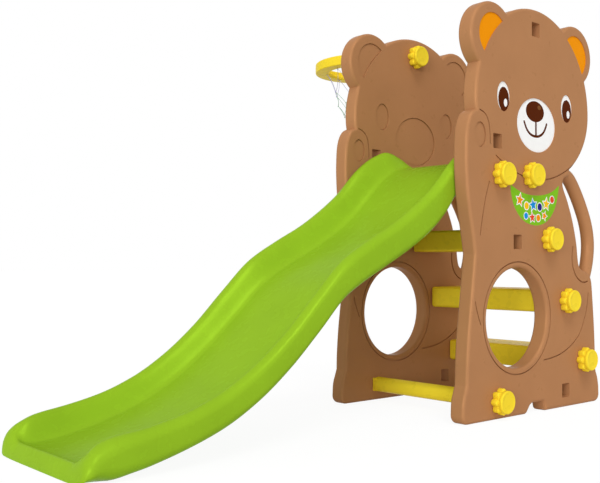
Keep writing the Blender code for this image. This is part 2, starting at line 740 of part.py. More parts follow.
def turned(name, profile, steps, collection, material=None, at=(0, 0, 0)):
    """A ring turned about Z from a closed (radius, height) profile, as a mesh object."""
    mesh = bpy.data.meshes.new(name)
    edges = [(i, (i + 1) % len(profile)) for i in range(len(profile))]
    mesh.from_pydata([(r, 0, h) for r, h in profile], edges, [])
    obj = bpy.data.objects.new(name + "_profile", mesh)
    bpy.context.scene.collection.objects.link(obj)
    screw = obj.modifiers.new("turn", "SCREW")
    screw.steps = steps
    screw.render_steps = steps
    screw.use_merge_vertices = True
    screw.merge_threshold = 0.00005
    turned_mesh = applied(obj)
    bpy.data.objects.remove(obj, do_unlink=True)
    return add_object(name, turned_mesh, collection, material, at)


def make_hoop():
    x, z = HOOP_MOUNT
    top = HOOP_HEIGHT / 2
    outer = HOOP_RADIUS
    inner = HOOP_RADIUS - HOOP_TOP_WIDTH
    flange = HOOP_RADIUS - HOOP_FLANGE_WIDTH
    lip = -top + HOOP_FLANGE_HEIGHT
    profile = [(outer, top), (outer, -top), (flange, -top), (flange, lip), (inner, lip), (inner, top)]
    at = (x, HOOP_CENTRE_Y, z)
    hoop = turned("hoop", profile, HOOP_STEPS, parts, yellow, at)
    wall = HOOP_WALL
    inside = [(outer - wall, top - wall), (outer - wall, -top + wall), (flange + wall, -top + wall),
              (flange + wall, lip - wall), (inner + wall, lip - wall), (inner + wall, top - wall)]
    core = turned("hoop_core", inside, HOOP_STEPS, cutters, None, at)
    core.parent = root
    boolean(hoop, core, "DIFFERENCE")
    face_y = OUTER_Y + FIT_GAP
    end_y = INNER_Y + SPIGOT_SHORTFALL
    ring_y = HOOP_CENTRE_Y - math.sqrt((HOOP_RADIUS - wall / 2) ** 2 - (HOOP_BRACKET_WIDTH / 2) ** 2)
    half = HOOP_BRACKET_WIDTH / 2
    drain_y = HOOP_CENTRE_Y + (flange + inner) / 2

    def block(bm):
        add_box(bm, (x - half, face_y, z - top), (x + half, ring_y, z + top))

    def drain(bm):
        add_rod(bm, (x, drain_y, z - top - wall), (x, drain_y, z - top + 1.5 * wall), DRAIN_RADIUS, 10)

    spigot = cutter("hoop_spigot", lambda bm: spigot_box(bm, HOOP_MOUNT, face_y + wall, end_y))
    bore = cutter("hoop_bore", lambda bm: insert_bore(bm, HOOP_MOUNT, end_y, 1))
    boolean(hoop, cutter("hoop_block", block), "UNION")
    boolean(hoop, spigot, "UNION")
    boolean(hoop, bore, "DIFFERENCE")
    boolean(hoop, cutter("hoop_drain", drain), "DIFFERENCE")


def make_net():
    x, z = HOOP_MOUNT
    top = z - HOOP_HEIGHT / 2 - FIT_GAP
    half = NET_THICKNESS / 2
    rings = [(radius * HOOP_RADIUS, -drop * HOOP_RADIUS) for radius, drop in NET_RING_SHARES]
    outside = [(radius + half, height) for radius, height in rings]
    inside = [(radius - half, height) for radius, height in reversed(rings)]
    turned("hoop_net", outside + inside, NET_STEPS, parts, white, (x, HOOP_CENTRE_Y, top))


# Knobs, studs and inserts

def knob_mesh():
    """Lobed wheel with a round cap, axis +Z, back face at z = 0, blind hole for the stud."""
    count = KNOB_LOBES * KNOB_POINTS_PER_LOBE
    bore = STUD_RADIUS + STUD_CLEARANCE
    cap = KNOB_CAP_RADIUS
    rings = [
        (bore, 0.0, STUD_IN_KNOB + STUD_CLEARANCE),
        (bore, 0.0, 0.0),
        (KNOB_RADIUS, KNOB_LOBE_DEPTH, 0.0),
        (KNOB_RADIUS, KNOB_LOBE_DEPTH, KNOB_WHEEL),
        (cap, 0.0, KNOB_WHEEL + KNOB_CAP_ROUND / 2),
        (cap, 0.0, KNOB_HEIGHT - KNOB_CAP_ROUND),
        (cap - KNOB_CAP_ROUND, 0.0, KNOB_HEIGHT),
    ]

    def build(bm):
        loops = []
        for radius, lobe, height in rings:
            loop = []
            for i in range(count):
                angle = 2 * math.pi * i / count
                r = radius - lobe * (1 - math.cos(KNOB_LOBES * angle)) / 2
                loop.append(bm.verts.new((r * math.cos(angle), r * math.sin(angle), height)))
            loops.append(loop)
        for one, two in zip(loops, loops[1:]):
            for i in range(count):
                j = (i + 1) % count
                bm.faces.new((one[i], one[j], two[j], two[i]))
        bm.faces.new(loops[0])
        bm.faces.new(loops[-1])

    mesh = mesh_from(build, "knob")
    smooth_shade(mesh, 30)
    return mesh


def stud_mesh():
    def build(bm):
        add_rod(bm, (0, 0, STUD_IN_KNOB), (0, 0, -STUD_REACH), STUD_RADIUS, 10)

    mesh = mesh_from(build, "stud")
    smooth_shade(mesh)
    return mesh


def insert_mesh():
    """Threaded insert as a plain sleeve from z = 0 down, axis +Z."""
    inner = STUD_RADIUS + STUD_CLEARANCE
    outer = inner + INSERT_WALL

    def build(bm):
        loops = []
        for radius, height in ((inner, 0), (outer, 0), (outer, -INSERT_LENGTH), (inner, -INSERT_LENGTH)):
            circle = arc((0, 0), radius, radius, 0, 324, 9)
            loops.append([bm.verts.new((x, y, height)) for x, y in circle])
        for one, two in zip(loops, loops[1:] + loops[:1]):
            for i in range(10):
                j = (i + 1) % 10
                bm.faces.new((one[i], one[j], two[j], two[i]))

    mesh = mesh_from(build, "insert")
    smooth_shade(mesh)
    return mesh


def add_fastener(label, mount, face_y, outward, meshes):
    """Knob, stud and insert at one mount; outward is the sign of y that the knob points to."""
    turn = (math.radians(-90 * outward), 0, 0)
    knob, stud, insert = meshes
    seat = (mount[0], face_y + outward * FIT_GAP, mount[1])
    add_object("knob_" + label, knob, parts, yellow, seat, turn)
    add_object("stud_" + label, stud, parts, steel, seat, turn)
    end = (mount[0], face_y - outward * SPIGOT_SHORTFALL, mount[1])
    add_object("insert_" + label, insert, parts, steel, end, turn)


def make_fasteners():
    meshes = (knob_mesh(), stud_mesh(), insert_mesh())
    for side, word in ((-1, "left"), (1, "right")):
        for name, mount in MOUNTS.items():
            add_fastener(f"{word}_{name}", mount, side * OUTER_Y, side, meshes)
    add_fastener("hoop", HOOP_MOUNT, INNER_Y, -1, meshes)


clear_scene()
parts = new_collection("toddler_slide")
cutters = new_collection("cutters")
root = bpy.data.objects.new("slide_frame", None)
root.location = (-CENTRE_X, -CENTRE_Y, 0)
parts.objects.link(root)
brown = finish_material("brown_plastic", BROWN)
yellow = finish_material("yellow_plastic", YELLOW)
green = finish_material("green_plastic", GREEN)
steel = finish_material("steel", STEEL, 1.0)
white = finish_material("net_string", WHITE)

panel = panel_mesh()
add_object("panel_left", panel, parts, brown, (0, -MID_Y, 0))
add_object("panel_right", panel, parts, brown, (0, MID_Y, 0))
make_chute()
for step_name in ("step_bottom", "step_middle", "step_top"):
    make_step(step_name)
make_bar()
make_hoop()
make_net()
make_fasteners()
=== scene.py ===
"""Looks of the toddler slide: panels, chute, steps, knobs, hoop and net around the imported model.

Shapes are written in a frame whose x is measured from the front leg of the panels and whose y is
midway between them, in metres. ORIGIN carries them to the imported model's frame.
"""
import math

import bmesh
import bpy
from mathutils import Matrix, Vector


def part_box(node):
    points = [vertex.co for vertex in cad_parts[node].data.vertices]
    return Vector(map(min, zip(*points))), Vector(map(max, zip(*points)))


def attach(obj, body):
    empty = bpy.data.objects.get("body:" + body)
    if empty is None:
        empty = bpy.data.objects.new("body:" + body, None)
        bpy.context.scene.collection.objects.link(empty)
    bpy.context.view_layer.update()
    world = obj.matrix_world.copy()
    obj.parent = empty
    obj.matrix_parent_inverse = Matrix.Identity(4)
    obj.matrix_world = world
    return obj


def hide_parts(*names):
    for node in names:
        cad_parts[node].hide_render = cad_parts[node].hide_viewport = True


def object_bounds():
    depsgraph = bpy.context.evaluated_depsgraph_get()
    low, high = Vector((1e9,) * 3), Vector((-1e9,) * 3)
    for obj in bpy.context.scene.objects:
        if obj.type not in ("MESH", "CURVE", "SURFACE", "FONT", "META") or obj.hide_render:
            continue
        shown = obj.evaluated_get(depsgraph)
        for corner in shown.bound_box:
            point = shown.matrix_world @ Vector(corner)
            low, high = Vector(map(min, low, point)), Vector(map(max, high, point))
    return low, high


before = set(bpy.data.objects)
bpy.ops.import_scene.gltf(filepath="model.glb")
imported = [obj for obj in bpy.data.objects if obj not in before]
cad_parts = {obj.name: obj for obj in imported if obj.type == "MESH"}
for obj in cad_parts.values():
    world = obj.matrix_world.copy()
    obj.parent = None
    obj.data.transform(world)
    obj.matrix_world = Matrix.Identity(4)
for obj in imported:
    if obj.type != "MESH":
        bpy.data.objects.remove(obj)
cad_low, cad_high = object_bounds()

# Side panels, (x, z) in the plane of the panel
PANEL_THICKNESS = 0.042
PANEL_EDGE_ROUND = 0.008
PANEL_GAP = 0.364
HEAD_X = 0.2730
CHIN_Z = 0.5790
HEAD_HALF_WIDTH = 0.2429
HEAD_LOWER_HALF = 0.1930
HEAD_UPPER_HALF = 0.2465
HEAD_CENTRE = (HEAD_X, CHIN_Z + HEAD_LOWER_HALF)
REAR_EAR_REACH = 0.727 * HEAD_HALF_WIDTH
REAR_EAR_LIFT = 0.626 * HEAD_UPPER_HALF
REAR_EAR_RADIUS = 0.328 * HEAD_HALF_WIDTH
FRONT_EAR_REACH = 0.7225 * HEAD_HALF_WIDTH
FRONT_EAR_LIFT = 0.609 * HEAD_UPPER_HALF
FRONT_EAR_RADIUS = 0.349 * HEAD_HALF_WIDTH
BELLY_CENTRE = (0.1937, 0.2409)
BELLY_RADIUS = 0.1238
BELLY_RING = 0.1385
FOOT_FRONT_X = -0.0195
FOOT_REAR_X = 0.5655
FOOT_CORNER = 0.020
FOOT_NOTCH = (0.226, 0.315)
# Both slopes of the foot notch, as (x, z) from its lower corners
NOTCH_RISE = [(0.0, 0.0), (0.006, 0.003), (0.020, 0.020), (0.030, 0.025)]
NOTCH_FALL = [(-0.015, 0.025), (-0.009, 0.019), (-0.004, 0.003), (0.0, 0.0)]
REAR_EDGE = [
    (0.5645, 0.0425), (0.5585, 0.0675), (0.5500, 0.0870), (0.5485, 0.1135), (0.5445, 0.1955),
    (0.5340, 0.3035), (0.5280, 0.3330), (0.5170, 0.3460), (0.5020, 0.3540), (0.4865, 0.3580),
    (0.4720, 0.3670), (0.4650, 0.3860), (0.4575, 0.4320), (0.4400, 0.4885), (0.4170, 0.5387),
    (0.3950, 0.5775), (0.4000, 0.5970), (0.4240, 0.6080), (0.4220, 0.6400),
]
ARM_EDGE = [
    (0.0750, 0.7530), (0.0420, 0.7440), (0.0180, 0.7335), (0.0045, 0.7140), (-0.0030, 0.6860),
    (-0.0055, 0.6450), (-0.0055, 0.6100), (-0.0015, 0.5500), (0.0085, 0.4920), (0.0195, 0.4400),
    (0.0275, 0.3965),
]
LEG_EDGE = [
    (0.0275, 0.3965), (0.0190, 0.3300), (0.0070, 0.2400), (0.0010, 0.1900), (-0.0035, 0.1300),
    (-0.0045, 0.0910),
]
FOOT_EDGE = [(-0.0045, 0.0910), (-0.0100, 0.0750), (-0.0155, 0.0600), (-0.0185, 0.0440)]
RAIL_RADIUS = 0.0173
RAIL_LINE = [
    (0.4090, 0.6180), (0.4440, 0.6035), (0.4710, 0.5765), (0.5030, 0.5320), (0.5295, 0.4825),
    (0.5410, 0.4340), (0.5370, 0.3855), (0.5225, 0.3420), (0.5060, 0.3140),
]

# Face, in the panel's plane: recesses on both faces, printed film on the outer one
RECESS_DEPTH = 0.0026
EYES = [(0.1367, 0.7823), (0.4087, 0.7816)]
EYE_HALF = (0.0258, 0.0366)
PUPIL_SHIFT = (0.0030, -0.0062)
PUPIL_HALF = (0.0212, 0.0299)
GLINT_SHIFT = (0.0102, -0.0143)
GLINT_HALF = (0.0068, 0.0097)
MUZZLE_CENTRE = (0.2735, 0.7248)
MUZZLE_HALF = (0.0829, 0.0683)
NOSE_CENTRE = (0.2700, 0.7594)
NOSE_HALF = (0.0388, 0.0264)
NOSE_GLINT = (0.2882, 0.7712)
NOSE_GLINT_HALF = (0.0075, 0.0055)
LIP_LINE = [(0.2735, 0.7360), (0.2738, 0.7000)]
MOUTH_LINE = [
    (0.2235, 0.7300), (0.2350, 0.7115), (0.2520, 0.7000), (0.2730, 0.6968), (0.2935, 0.7010),
    (0.3100, 0.7135), (0.3205, 0.7320),
]
MOUTH_STROKE = 0.0032
EAR_PRINT_REACH = 0.7265 * HEAD_HALF_WIDTH
EAR_PRINT_LIFT = 0.620 * HEAD_UPPER_HALF
EAR_PRINT_RADIUS = 0.226 * HEAD_HALF_WIDTH
EAR_PRINT_EDGE = 0.967
PAW_PAD_CENTRE = (0.0455, 0.6817)
PAW_PAD_HALF = (0.0217, 0.0298)
FILM = 0.00015
FILM_LIFT = 0.00002

# Thin moulded lines on both faces
GROOVE_HALF_WIDTH = 0.0016
GROOVE_DEPTH = 0.0045
HAND_GROOVE_HALF_WIDTH = 0.0021
HAND_GROOVE_DEPTH = 0.0060
RIM_GROOVE = 0.0016
RIM_GROOVE_DEPTH = 0.0042
ARM_LINE = [(0.0798, 0.5720), (0.0660, 0.5350), (0.0540, 0.4900), (0.0443, 0.4432)]
PAW_LINE = [
    (0.0436, 0.7400), (0.0588, 0.7354), (0.0700, 0.7270), (0.0785, 0.7110), (0.0825, 0.6887),
    (0.0835, 0.6640),
]
HAND_LINE = [
    (0.4367, 0.4201), (0.4328, 0.3939), (0.4364, 0.3675), (0.4487, 0.3451), (0.4674, 0.3308),
    (0.4858, 0.3244), (0.5065, 0.3271),
]
REAR_LEG_LINE = [
    (0.5102, 0.2957), (0.5050, 0.2660), (0.4960, 0.2380), (0.4700, 0.1920), (0.4350, 0.1640),
    (0.3900, 0.1440), (0.3450, 0.1340), (0.3027, 0.1300),
]
FRONT_LEG_LINE = [(0.0255, 0.2857), (0.0329, 0.2597), (0.0460, 0.2309)]
# The chin line is a parabola
CHIN_HALF_WIDTH = 0.167
CHIN_LOW = 0.587
CHIN_CURVE = 1.765
CHIN_SPANS = 32

# Green bib with plain motifs
BIB_TIPS = ((0.1630, 0.5690), (0.3715, 0.5780))
BIB_BOTTOM = [
    (0.1655, 0.5470), (0.1760, 0.5200), (0.1960, 0.4960), (0.2240, 0.4790), (0.2560, 0.4722),
    (0.2800, 0.4722), (0.3080, 0.4790), (0.3340, 0.4950), (0.3540, 0.5200), (0.3660, 0.5500),
]
BIB_TOP = [(0.3490, 0.5640), (0.3180, 0.5530), (0.2735, 0.5470), (0.2268, 0.5490), (0.1934, 0.5570)]
STAR_POINTS = 5
STAR_INNER = 0.45
STAR_BORDER_INNER = 0.5
STAR_BORDER = 1.28
DOT_BORDER = 1.25

# Square holes, and the places where the pieces are mounted
HOLE_SIZE = (0.034, 0.036)
HOLE_CORNER = 0.0025
STEP_RISE = 0.159
STEP_RUN = 0.080
STEP_BOTTOM = (0.483, 0.119)
CHUTE_FRONT_MOUNT = (0.122, 0.591)
BAR_MOUNT = (0.114, 0.044)
HOOP_MOUNT = (HEAD_X - 0.0023, HEAD_CENTRE[1] + HEAD_UPPER_HALF - 0.0521)
SPARE_HOLES = [(0.1121, 0.6712), (0.1925, 0.4288), (0.4014, 0.0438)]
SPIGOT_CLEARANCE = 0.0005
SPIGOT_ROOT = 0.010
SPIGOT_SHORTFALL = 0.004
FIT_GAP = 0.0003

# Knobs
KNOB_LOBES = 8
KNOB_POINTS = 96
KNOB_RADIUS = 0.0325
KNOB_LOBE_DEPTH = 0.0080
KNOB_WHEEL = 0.0175
KNOB_NECK_RADIUS = 0.0262
KNOB_CAP_RADIUS = 0.0280
KNOB_HEIGHT = 0.029
KNOB_SEAT_CENTRE = 0.004
KNOB_SEAT_ROUND = 0.0015
KNOB_WHEEL_ROUND = 0.0035
KNOB_WHEEL_STEPS = 5
KNOB_LOBE_FADE = 0.1
KNOB_CAP_ROUND = 0.0032
KNOB_CAP_STEPS = 6
LOBE_BULGE = 0.96
# Rings of the neck: radius beyond the neck's, share of the lobes, height above the wheel
NECK_RINGS = [(0.0008, 0.1, 0.0001), (0.0, 0.0, 0.0006), (0.0, 0.0, 0.0014)]
# Rings under the cap: radius beyond the cap's, height above the wheel
CAP_FOOT_RINGS = [(-0.0010, 0.0018), (0.0, 0.0030)]
# Rings of the shallow dish in the cap: radius, depth below the top
CAP_DISH_RINGS = [(0.0235, 0.0002), (0.0225, 0.0006), (0.0140, 0.0005), (0.0020, 0.0004)]

# Chute
CHUTE_HALF_WIDTH = 0.1815
CHUTE_BED_HALF = 0.112
CHUTE_RIM_ROUND = 0.021
CHUTE_FOOT_ROUND = 0.022
CHUTE_TOE_X = -0.955
CHUTE_DECK_END = 0.309
CHUTE_TOE_PLAN_ROUND = 0.022
CHUTE_TOE_FOOT_LENGTH = 0.090
CHUTE_TOE_FOOT_EXTRA = 0.070
CHUTE_LIP_ROUND = 0.026
CHUTE_LIP_LEAST = 0.2
CHUTE_LIP_RISE = 0.009
CHUTE_LIP_LENGTH = 0.026
CHUTE_SOFT_LENGTH = 0.130
CHUTE_SOFT_EXTRA = 0.014
CHUTE_ROUND_SHARE = 0.45
CHUTE_END_ROUND = 0.008
CHUTE_STATION_STEP = 0.010
CHUTE_FIRST_STEP = CHUTE_LIP_ROUND / 30
CHUTE_STEP_GROWTH = 1.25
CHUTE_END_SPANS = 6
RIM_LINE = [
    (-0.955, 0.006), (-0.949, 0.033), (-0.940, 0.049), (-0.920, 0.065), (-0.890, 0.076), (-0.820, 0.086),
    (-0.740, 0.103), (-0.660, 0.132), (-0.580, 0.177), (-0.500, 0.238), (-0.420, 0.314), (-0.340, 0.386),
    (-0.260, 0.431), (-0.180, 0.471), (-0.110, 0.514), (-0.050, 0.558), (0.030, 0.632), (0.085, 0.666),
    (0.130, 0.680), (0.175, 0.668), (0.221, 0.640), (0.255, 0.637), (0.309, 0.637),
]
BED_LINE = [
    (-0.929, 0.026), (-0.900, 0.027), (-0.820, 0.038), (-0.740, 0.058), (-0.660, 0.086), (-0.580, 0.127),
    (-0.500, 0.184), (-0.420, 0.254), (-0.340, 0.326), (-0.290, 0.358), (-0.240, 0.383), (-0.155, 0.424),
    (-0.090, 0.461), (-0.020, 0.513), (0.032, 0.562), (0.080, 0.603), (0.128, 0.627), (0.185, 0.637),
    (0.309, 0.637),
]
UNDERSIDE_LINE = [
    (-0.955, 0.0), (-0.905, 0.0), (-0.860, 0.008), (-0.820, 0.016), (-0.740, 0.036), (-0.660, 0.063),
    (-0.580, 0.104), (-0.500, 0.161), (-0.420, 0.232), (-0.346, 0.301), (-0.295, 0.331), (-0.223, 0.366),
    (-0.142, 0.406), (-0.073, 0.447), (-0.019, 0.493), (0.018, 0.536), (0.060, 0.560), (0.100, 0.562),
    (0.309, 0.562),
]

# Steps, crossbar, hoop and net
STEP_HEIGHT = 0.059
STEP_DEPTH = 0.128
STEP_EDGE_ROUND = 0.008
BAR_RADIUS = 0.020
BAR_EDGE_ROUND = 0.006
HOOP_RADIUS = 0.152
HOOP_HEIGHT = 0.028
HOOP_TOP_WIDTH = 0.022
HOOP_FLANGE_WIDTH = 0.040
HOOP_FLANGE_HEIGHT = 0.009
HOOP_STANDOFF = 0.006
HOOP_BRACKET_WIDTH = 0.070
HOOP_EDGE = 0.003
HOOP_EDGE_STEPS = 4
HOOP_BRACKET_EDGE = 0.0025
HOOP_BRACKET_OVERLAP = 0.006
HOOP_SPIGOT_ROOT = 0.004
NET_MESHES = 8
NET_ROWS = [(0.1170, 0.0), (0.0965, 0.062), (0.0830, 0.098), (0.0690, 0.128), (0.0560, 0.148)]
STRING_RADIUS = 0.0006
KNOT_RADIUS = 0.0017
STRING_BOW = 0.04
STRING_DROP = 0.02
STRING_SPANS = 6

# Finishes. A noise is (scale, detail, low, high) and a bump is (strength, distance). SHINE is the
# clear reflection and GLINT the share of reflection in the plastic's own colour.
PLASTIC_SHINE = 0.01
PLASTIC_GLINT = 0.06
PLASTIC_TONE = (11.0, 3.0, 0.97, 1.03)
PLASTIC_GLOSS = (38.0, 2.0, -0.03, 0.05)
PLASTIC_RIPPLES = (26.0, 1.0, 0.0, 1.0)
PLASTIC_RIPPLE_BUMP = (0.6, 0.00002)
PLASTIC_GRAIN = (160.0, 1.0, 0.0, 1.0)
PLASTIC_GRAIN_BUMP = (0.5, 0.000002)
FILM_SHINE = 0.02
FILM_TONE = (60.0, 4.0, 0.985, 1.015)
FILM_GLOSS = (120.0, 2.0, 0.32, 0.39)
STEEL_COLOUR = (0.62, 0.62, 0.60)
STEEL_TONE = (300.0, 3.0, 0.92, 1.05)
STEEL_GLOSS = (500.0, 2.0, 0.25, 0.42)
STRING_ROUGHNESS = 0.8
STRING_TONE = (400.0, 2.0, 0.93, 1.05)
STRING_TWIST = 900.0
STRING_BUMP = (0.6, 0.0002)
SHARP_DEGREES = 40

# Camera, in the frame of the shapes
CAMERA_PLACE = (-1.6541, -1.5344, 0.3808)
CAMERA_TURN = (90.553, 0.0, -40.48)
CAMERA_LENS = 53.39
CAMERA_SHIFT = (0.01105, 0.01878)

# Light: world strength on surfaces, and suns as (name, direction to the sun, strength, degrees)
WORLD_LIGHT = 0.50
SUNS = [
    ("left", (-0.90, -0.40, 0.15), 1.05, 24),
    ("high", (-0.25, -0.50, 0.83), 0.86, 24),
    ("front", (-0.65, -0.75, 0.08), 0.52, 24),
]

# Floor: grey where it lights the slide, and where it is seen a dark grey that takes the shadow,
# with a glow added
FLOOR_SIZE = 30.0
FLOOR_DROP = 0.0005
FLOOR_PALE = 0.80
FLOOR_DARK = 0.10
FLOOR_GLOW = 0.93

OUTER_Y = PANEL_GAP / 2 + PANEL_THICKNESS
INNER_Y = PANEL_GAP / 2
MID_Y = PANEL_GAP / 2 + PANEL_THICKNESS / 2
HOOP_CENTRE = (HOOP_MOUNT[0], OUTER_Y + HOOP_STANDOFF + HOOP_RADIUS, HOOP_MOUNT[1])
LEFT_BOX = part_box("panel_left")
RIGHT_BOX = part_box("panel_right")
ORIGIN = Vector((LEFT_BOX[0].x - FOOT_FRONT_X, (LEFT_BOX[0].y + RIGHT_BOX[1].y) / 2, LEFT_BOX[0].z))


def step_mount(index):
    return (STEP_BOTTOM[0] - STEP_RUN * index, STEP_BOTTOM[1] + STEP_RISE * index)


MOUNTS = {
    "bar": BAR_MOUNT,
    "step_bottom": step_mount(0),
    "step_middle": step_mount(1),
    "step_top": step_mount(2),
    "chute_rear": step_mount(3),
    "chute_front": CHUTE_FRONT_MOUNT,
}


# Outlines

def smooth(points, per_span=6):
    """Points along a Catmull-Rom curve through the given points."""
    out = []
    last = len(points) - 1
    for i in range(last):
        p0 = Vector(points[max(i - 1, 0)])
        p1 = Vector(points[i])
        p2 = Vector(points[i + 1])
        p3 = Vector(points[min(i + 2, last)])
        for k in range(per_span):
            t = k / per_span
            a = 2 * p1 + (p2 - p0) * t
            b = (2 * p0 - 5 * p1 + 4 * p2 - p3) * t * t
            c = (3 * p1 - p0 - 3 * p2 + p3) * t * t * t
            out.append(tuple((a + b + c) / 2))
    out.append(tuple(points[-1]))
    return out


def arc(centre, half_x, half_z, start, end, count):
    """Points on an ellipse from angle start to end, in degrees, both ends included."""
    out = []
    for i in range(count + 1):
        angle = math.radians(start + (end - start) * i / count)
        out.append((centre[0] + half_x * math.cos(angle), centre[1] + half_z * math.sin(angle)))
    return out


def oval(centre, half, count=64):
    return arc(centre, half[0], half[1], 0, 360, count)[:-1]


def crossing(a0, a1, b0, b1):
    """Where segment a0-a1 meets segment b0-b1, or None."""
    ax, az = a1[0] - a0[0], a1[1] - a0[1]
    bx, bz = b1[0] - b0[0], b1[1] - b0[1]
    det = ax * bz - az * bx
    if abs(det) < 1e-12:
        return None
    s = ((b0[0] - a0[0]) * bz - (b0[1] - a0[1]) * bx) / det
    t = ((b0[0] - a0[0]) * az - (b0[1] - a0[1]) * ax) / det
    if 0 <= s <= 1 and 0 <= t <= 1:
        return (a0[0] + ax * s, a0[1] + az * s)
    return None


def splice(path, following):
    """Walks path until it first crosses following, and goes on along following from there."""
    for i in range(1, len(path) - 1):
        for j in range(len(following) - 1):
            meet = crossing(path[i], path[i + 1], following[j], following[j + 1])
            if meet:
                return path[:i + 1] + [meet] + following[j + 1:]
    return path + following


def along(line, x):
    """Height of a line of (x, z) points at x, by a monotone cubic between them."""
    if x <= line[0][0]:
        return line[0][1]
    if x >= line[-1][0]:
        return line[-1][1]
    slopes = [(b[1] - a[1]) / (b[0] - a[0]) for a, b in zip(line, line[1:])]
    i = max(k for k in range(len(line) - 1) if line[k][0] <= x)

    def tangent(k):
        if k == 0 or k == len(line) - 1:
            return slopes[min(k, len(slopes) - 1)]
        before, after = slopes[k - 1], slopes[k]
        if before * after <= 0:
            return 0.0
        return 2 * before * after / (before + after)

    (x0, z0), (x1, z1) = line[i], line[i + 1]
    h = x1 - x0
    t = (x - x0) / h
    first = (2 * t ** 3 - 3 * t ** 2 + 1) * z0 + (t ** 3 - 2 * t ** 2 + t) * h * tangent(i)
    return first + (-2 * t ** 3 + 3 * t ** 2) * z1 + (t ** 3 - t ** 2) * h * tangent(i + 1)


def head_arc(start, end, count, scale=1.0):
    """Points on the head's contour from angle start to end, in degrees; the lower half is flatter."""
    out = []
    for i in range(count + 1):
        angle = math.radians(start + (end - start) * i / count)
        half_z = HEAD_UPPER_HALF if math.sin(angle) > 0 else HEAD_LOWER_HALF
        x = HEAD_CENTRE[0] + scale * HEAD_HALF_WIDTH * math.cos(angle)
        out.append((x, HEAD_CENTRE[1] + scale * half_z * math.sin(angle)))
    return out


def panel_outline():
    """Bear outline, anticlockwise from the front foot: rear edge, head with two ears, front edge."""
    low, high = FOOT_NOTCH
    corner = FOOT_CORNER
    bottom = arc((FOOT_FRONT_X + corner, corner), corner, corner, 180, 270, 10)
    bottom += [(low + x, z) for x, z in NOTCH_RISE] + [(high + x, z) for x, z in NOTCH_FALL]
    bottom += arc((FOOT_REAR_X - corner, corner), corner, corner, 270, 360, 10)
    rear = smooth(REAR_EDGE)
    front = smooth(ARM_EDGE) + smooth(LEG_EDGE)[1:] + smooth(FOOT_EDGE)[1:]
    ear_rear = (HEAD_CENTRE[0] + REAR_EAR_REACH, HEAD_CENTRE[1] + REAR_EAR_LIFT)
    ear_front = (HEAD_CENTRE[0] - FRONT_EAR_REACH, HEAD_CENTRE[1] + FRONT_EAR_LIFT)
    outline = splice(bottom + rear, head_arc(-70, 45, 57))
    outline = splice(outline, arc(ear_rear, REAR_EAR_RADIUS, REAR_EAR_RADIUS, -100, 190, 72))
    outline = splice(outline, head_arc(50, 230, 90))
    outline = splice(outline, arc(ear_front, FRONT_EAR_RADIUS, FRONT_EAR_RADIUS, -10, 280, 72))
    outline = splice(outline, head_arc(135, 240, 52))
    return splice(outline, front)


def ear_print(side):
    """Leaf shape inside an ear: a circle cut off by a line that follows the head."""
    cx, cz = HEAD_CENTRE
    centre = (cx + EAR_PRINT_REACH, cz + EAR_PRINT_LIFT)
    half_x, half_z = HEAD_HALF_WIDTH * EAR_PRINT_EDGE, HEAD_UPPER_HALF * EAR_PRINT_EDGE
    circle = arc(centre, EAR_PRINT_RADIUS, EAR_PRINT_RADIUS, -135, 225, 120)
    kept = [p for p in circle if math.hypot((p[0] - cx) / half_x, (p[1] - cz) / half_z) > 1]
    edge = [p for p in head_arc(80, 0, 60, EAR_PRINT_EDGE) if math.dist(p, centre) < EAR_PRINT_RADIUS]
    outline = kept + edge
    if side < 0:
        outline = [(2 * cx - x, z) for x, z in reversed(outline)]
    return outline


# Blender helpers

def linked_object(name, data):
    obj = bpy.data.objects.new(name, data)
    bpy.context.scene.collection.objects.link(obj)
    return obj


def new_object(name, mesh, at=(0, 0, 0), turn=(0, 0, 0)):
    """An object placed in the frame of the shapes."""
    obj = linked_object(name, mesh)
    obj.location = ORIGIN + Vector(at)
    obj.rotation_euler = turn
    return obj


def mesh_from(builder, name):
    """A mesh filled by builder(bm), with normals made to point out."""
    bm = bmesh.new()
    builder(bm)
    bmesh.ops.recalc_face_normals(bm, faces=bm.faces)
    mesh = bpy.data.meshes.new(name)
    bm.to_mesh(mesh)
    bm.free()
    return mesh


def evaluated_mesh(obj):
    bpy.context.view_layer.update()
    evaluated = obj.evaluated_get(bpy.context.evaluated_depsgraph_get())
    return bpy.data.meshes.new_from_object(evaluated)


def curve_mesh(name, curve):
    """The evaluated mesh of a curve, with its loose caps welded on."""
    obj = new_object(name + "_curve", curve)
    obj.location = (0, 0, 0)
    mesh = evaluated_mesh(obj)
    bpy.data.objects.remove(obj, do_unlink=True)
    bm = bmesh.new()
    bm.from_mesh(mesh)
    bmesh.ops.remove_doubles(bm, verts=bm.verts, dist=0.00001)
    bmesh.ops.recalc_face_normals(bm, faces=bm.faces)
    bmesh.ops.dissolve_limit(bm, angle_limit=0.001, verts=bm.verts, edges=bm.edges)
    bm.to_mesh(mesh)
    bm.free()
    mesh.name = name
    mesh.materials.clear()
    return mesh


def flat_mesh(name, outlines, half_thickness, edge_round=0.0, steps=0):
    """A plate through closed (x, z) outlines, standing in the xz plane, thickness along y."""
    curve = bpy.data.curves.new(name, "CURVE")
    curve.dimensions = "2D"
    curve.fill_mode = "BOTH"
    for outline in outlines:
        spline = curve.splines.new("POLY")
        spline.points.add(len(outline) - 1)
        for point, (x, z) in zip(spline.points, outline):
            point.co = (x, z, 0, 1)
        spline.use_cyclic_u = True
    curve.extrude = half_thickness - edge_round
    curve.bevel_depth = edge_round
    curve.bevel_resolution = steps
    curve.offset = -edge_round
    mesh = curve_mesh(name, curve)
    mesh.transform(Matrix.Rotation(math.radians(90), 4, "X"))
    return mesh


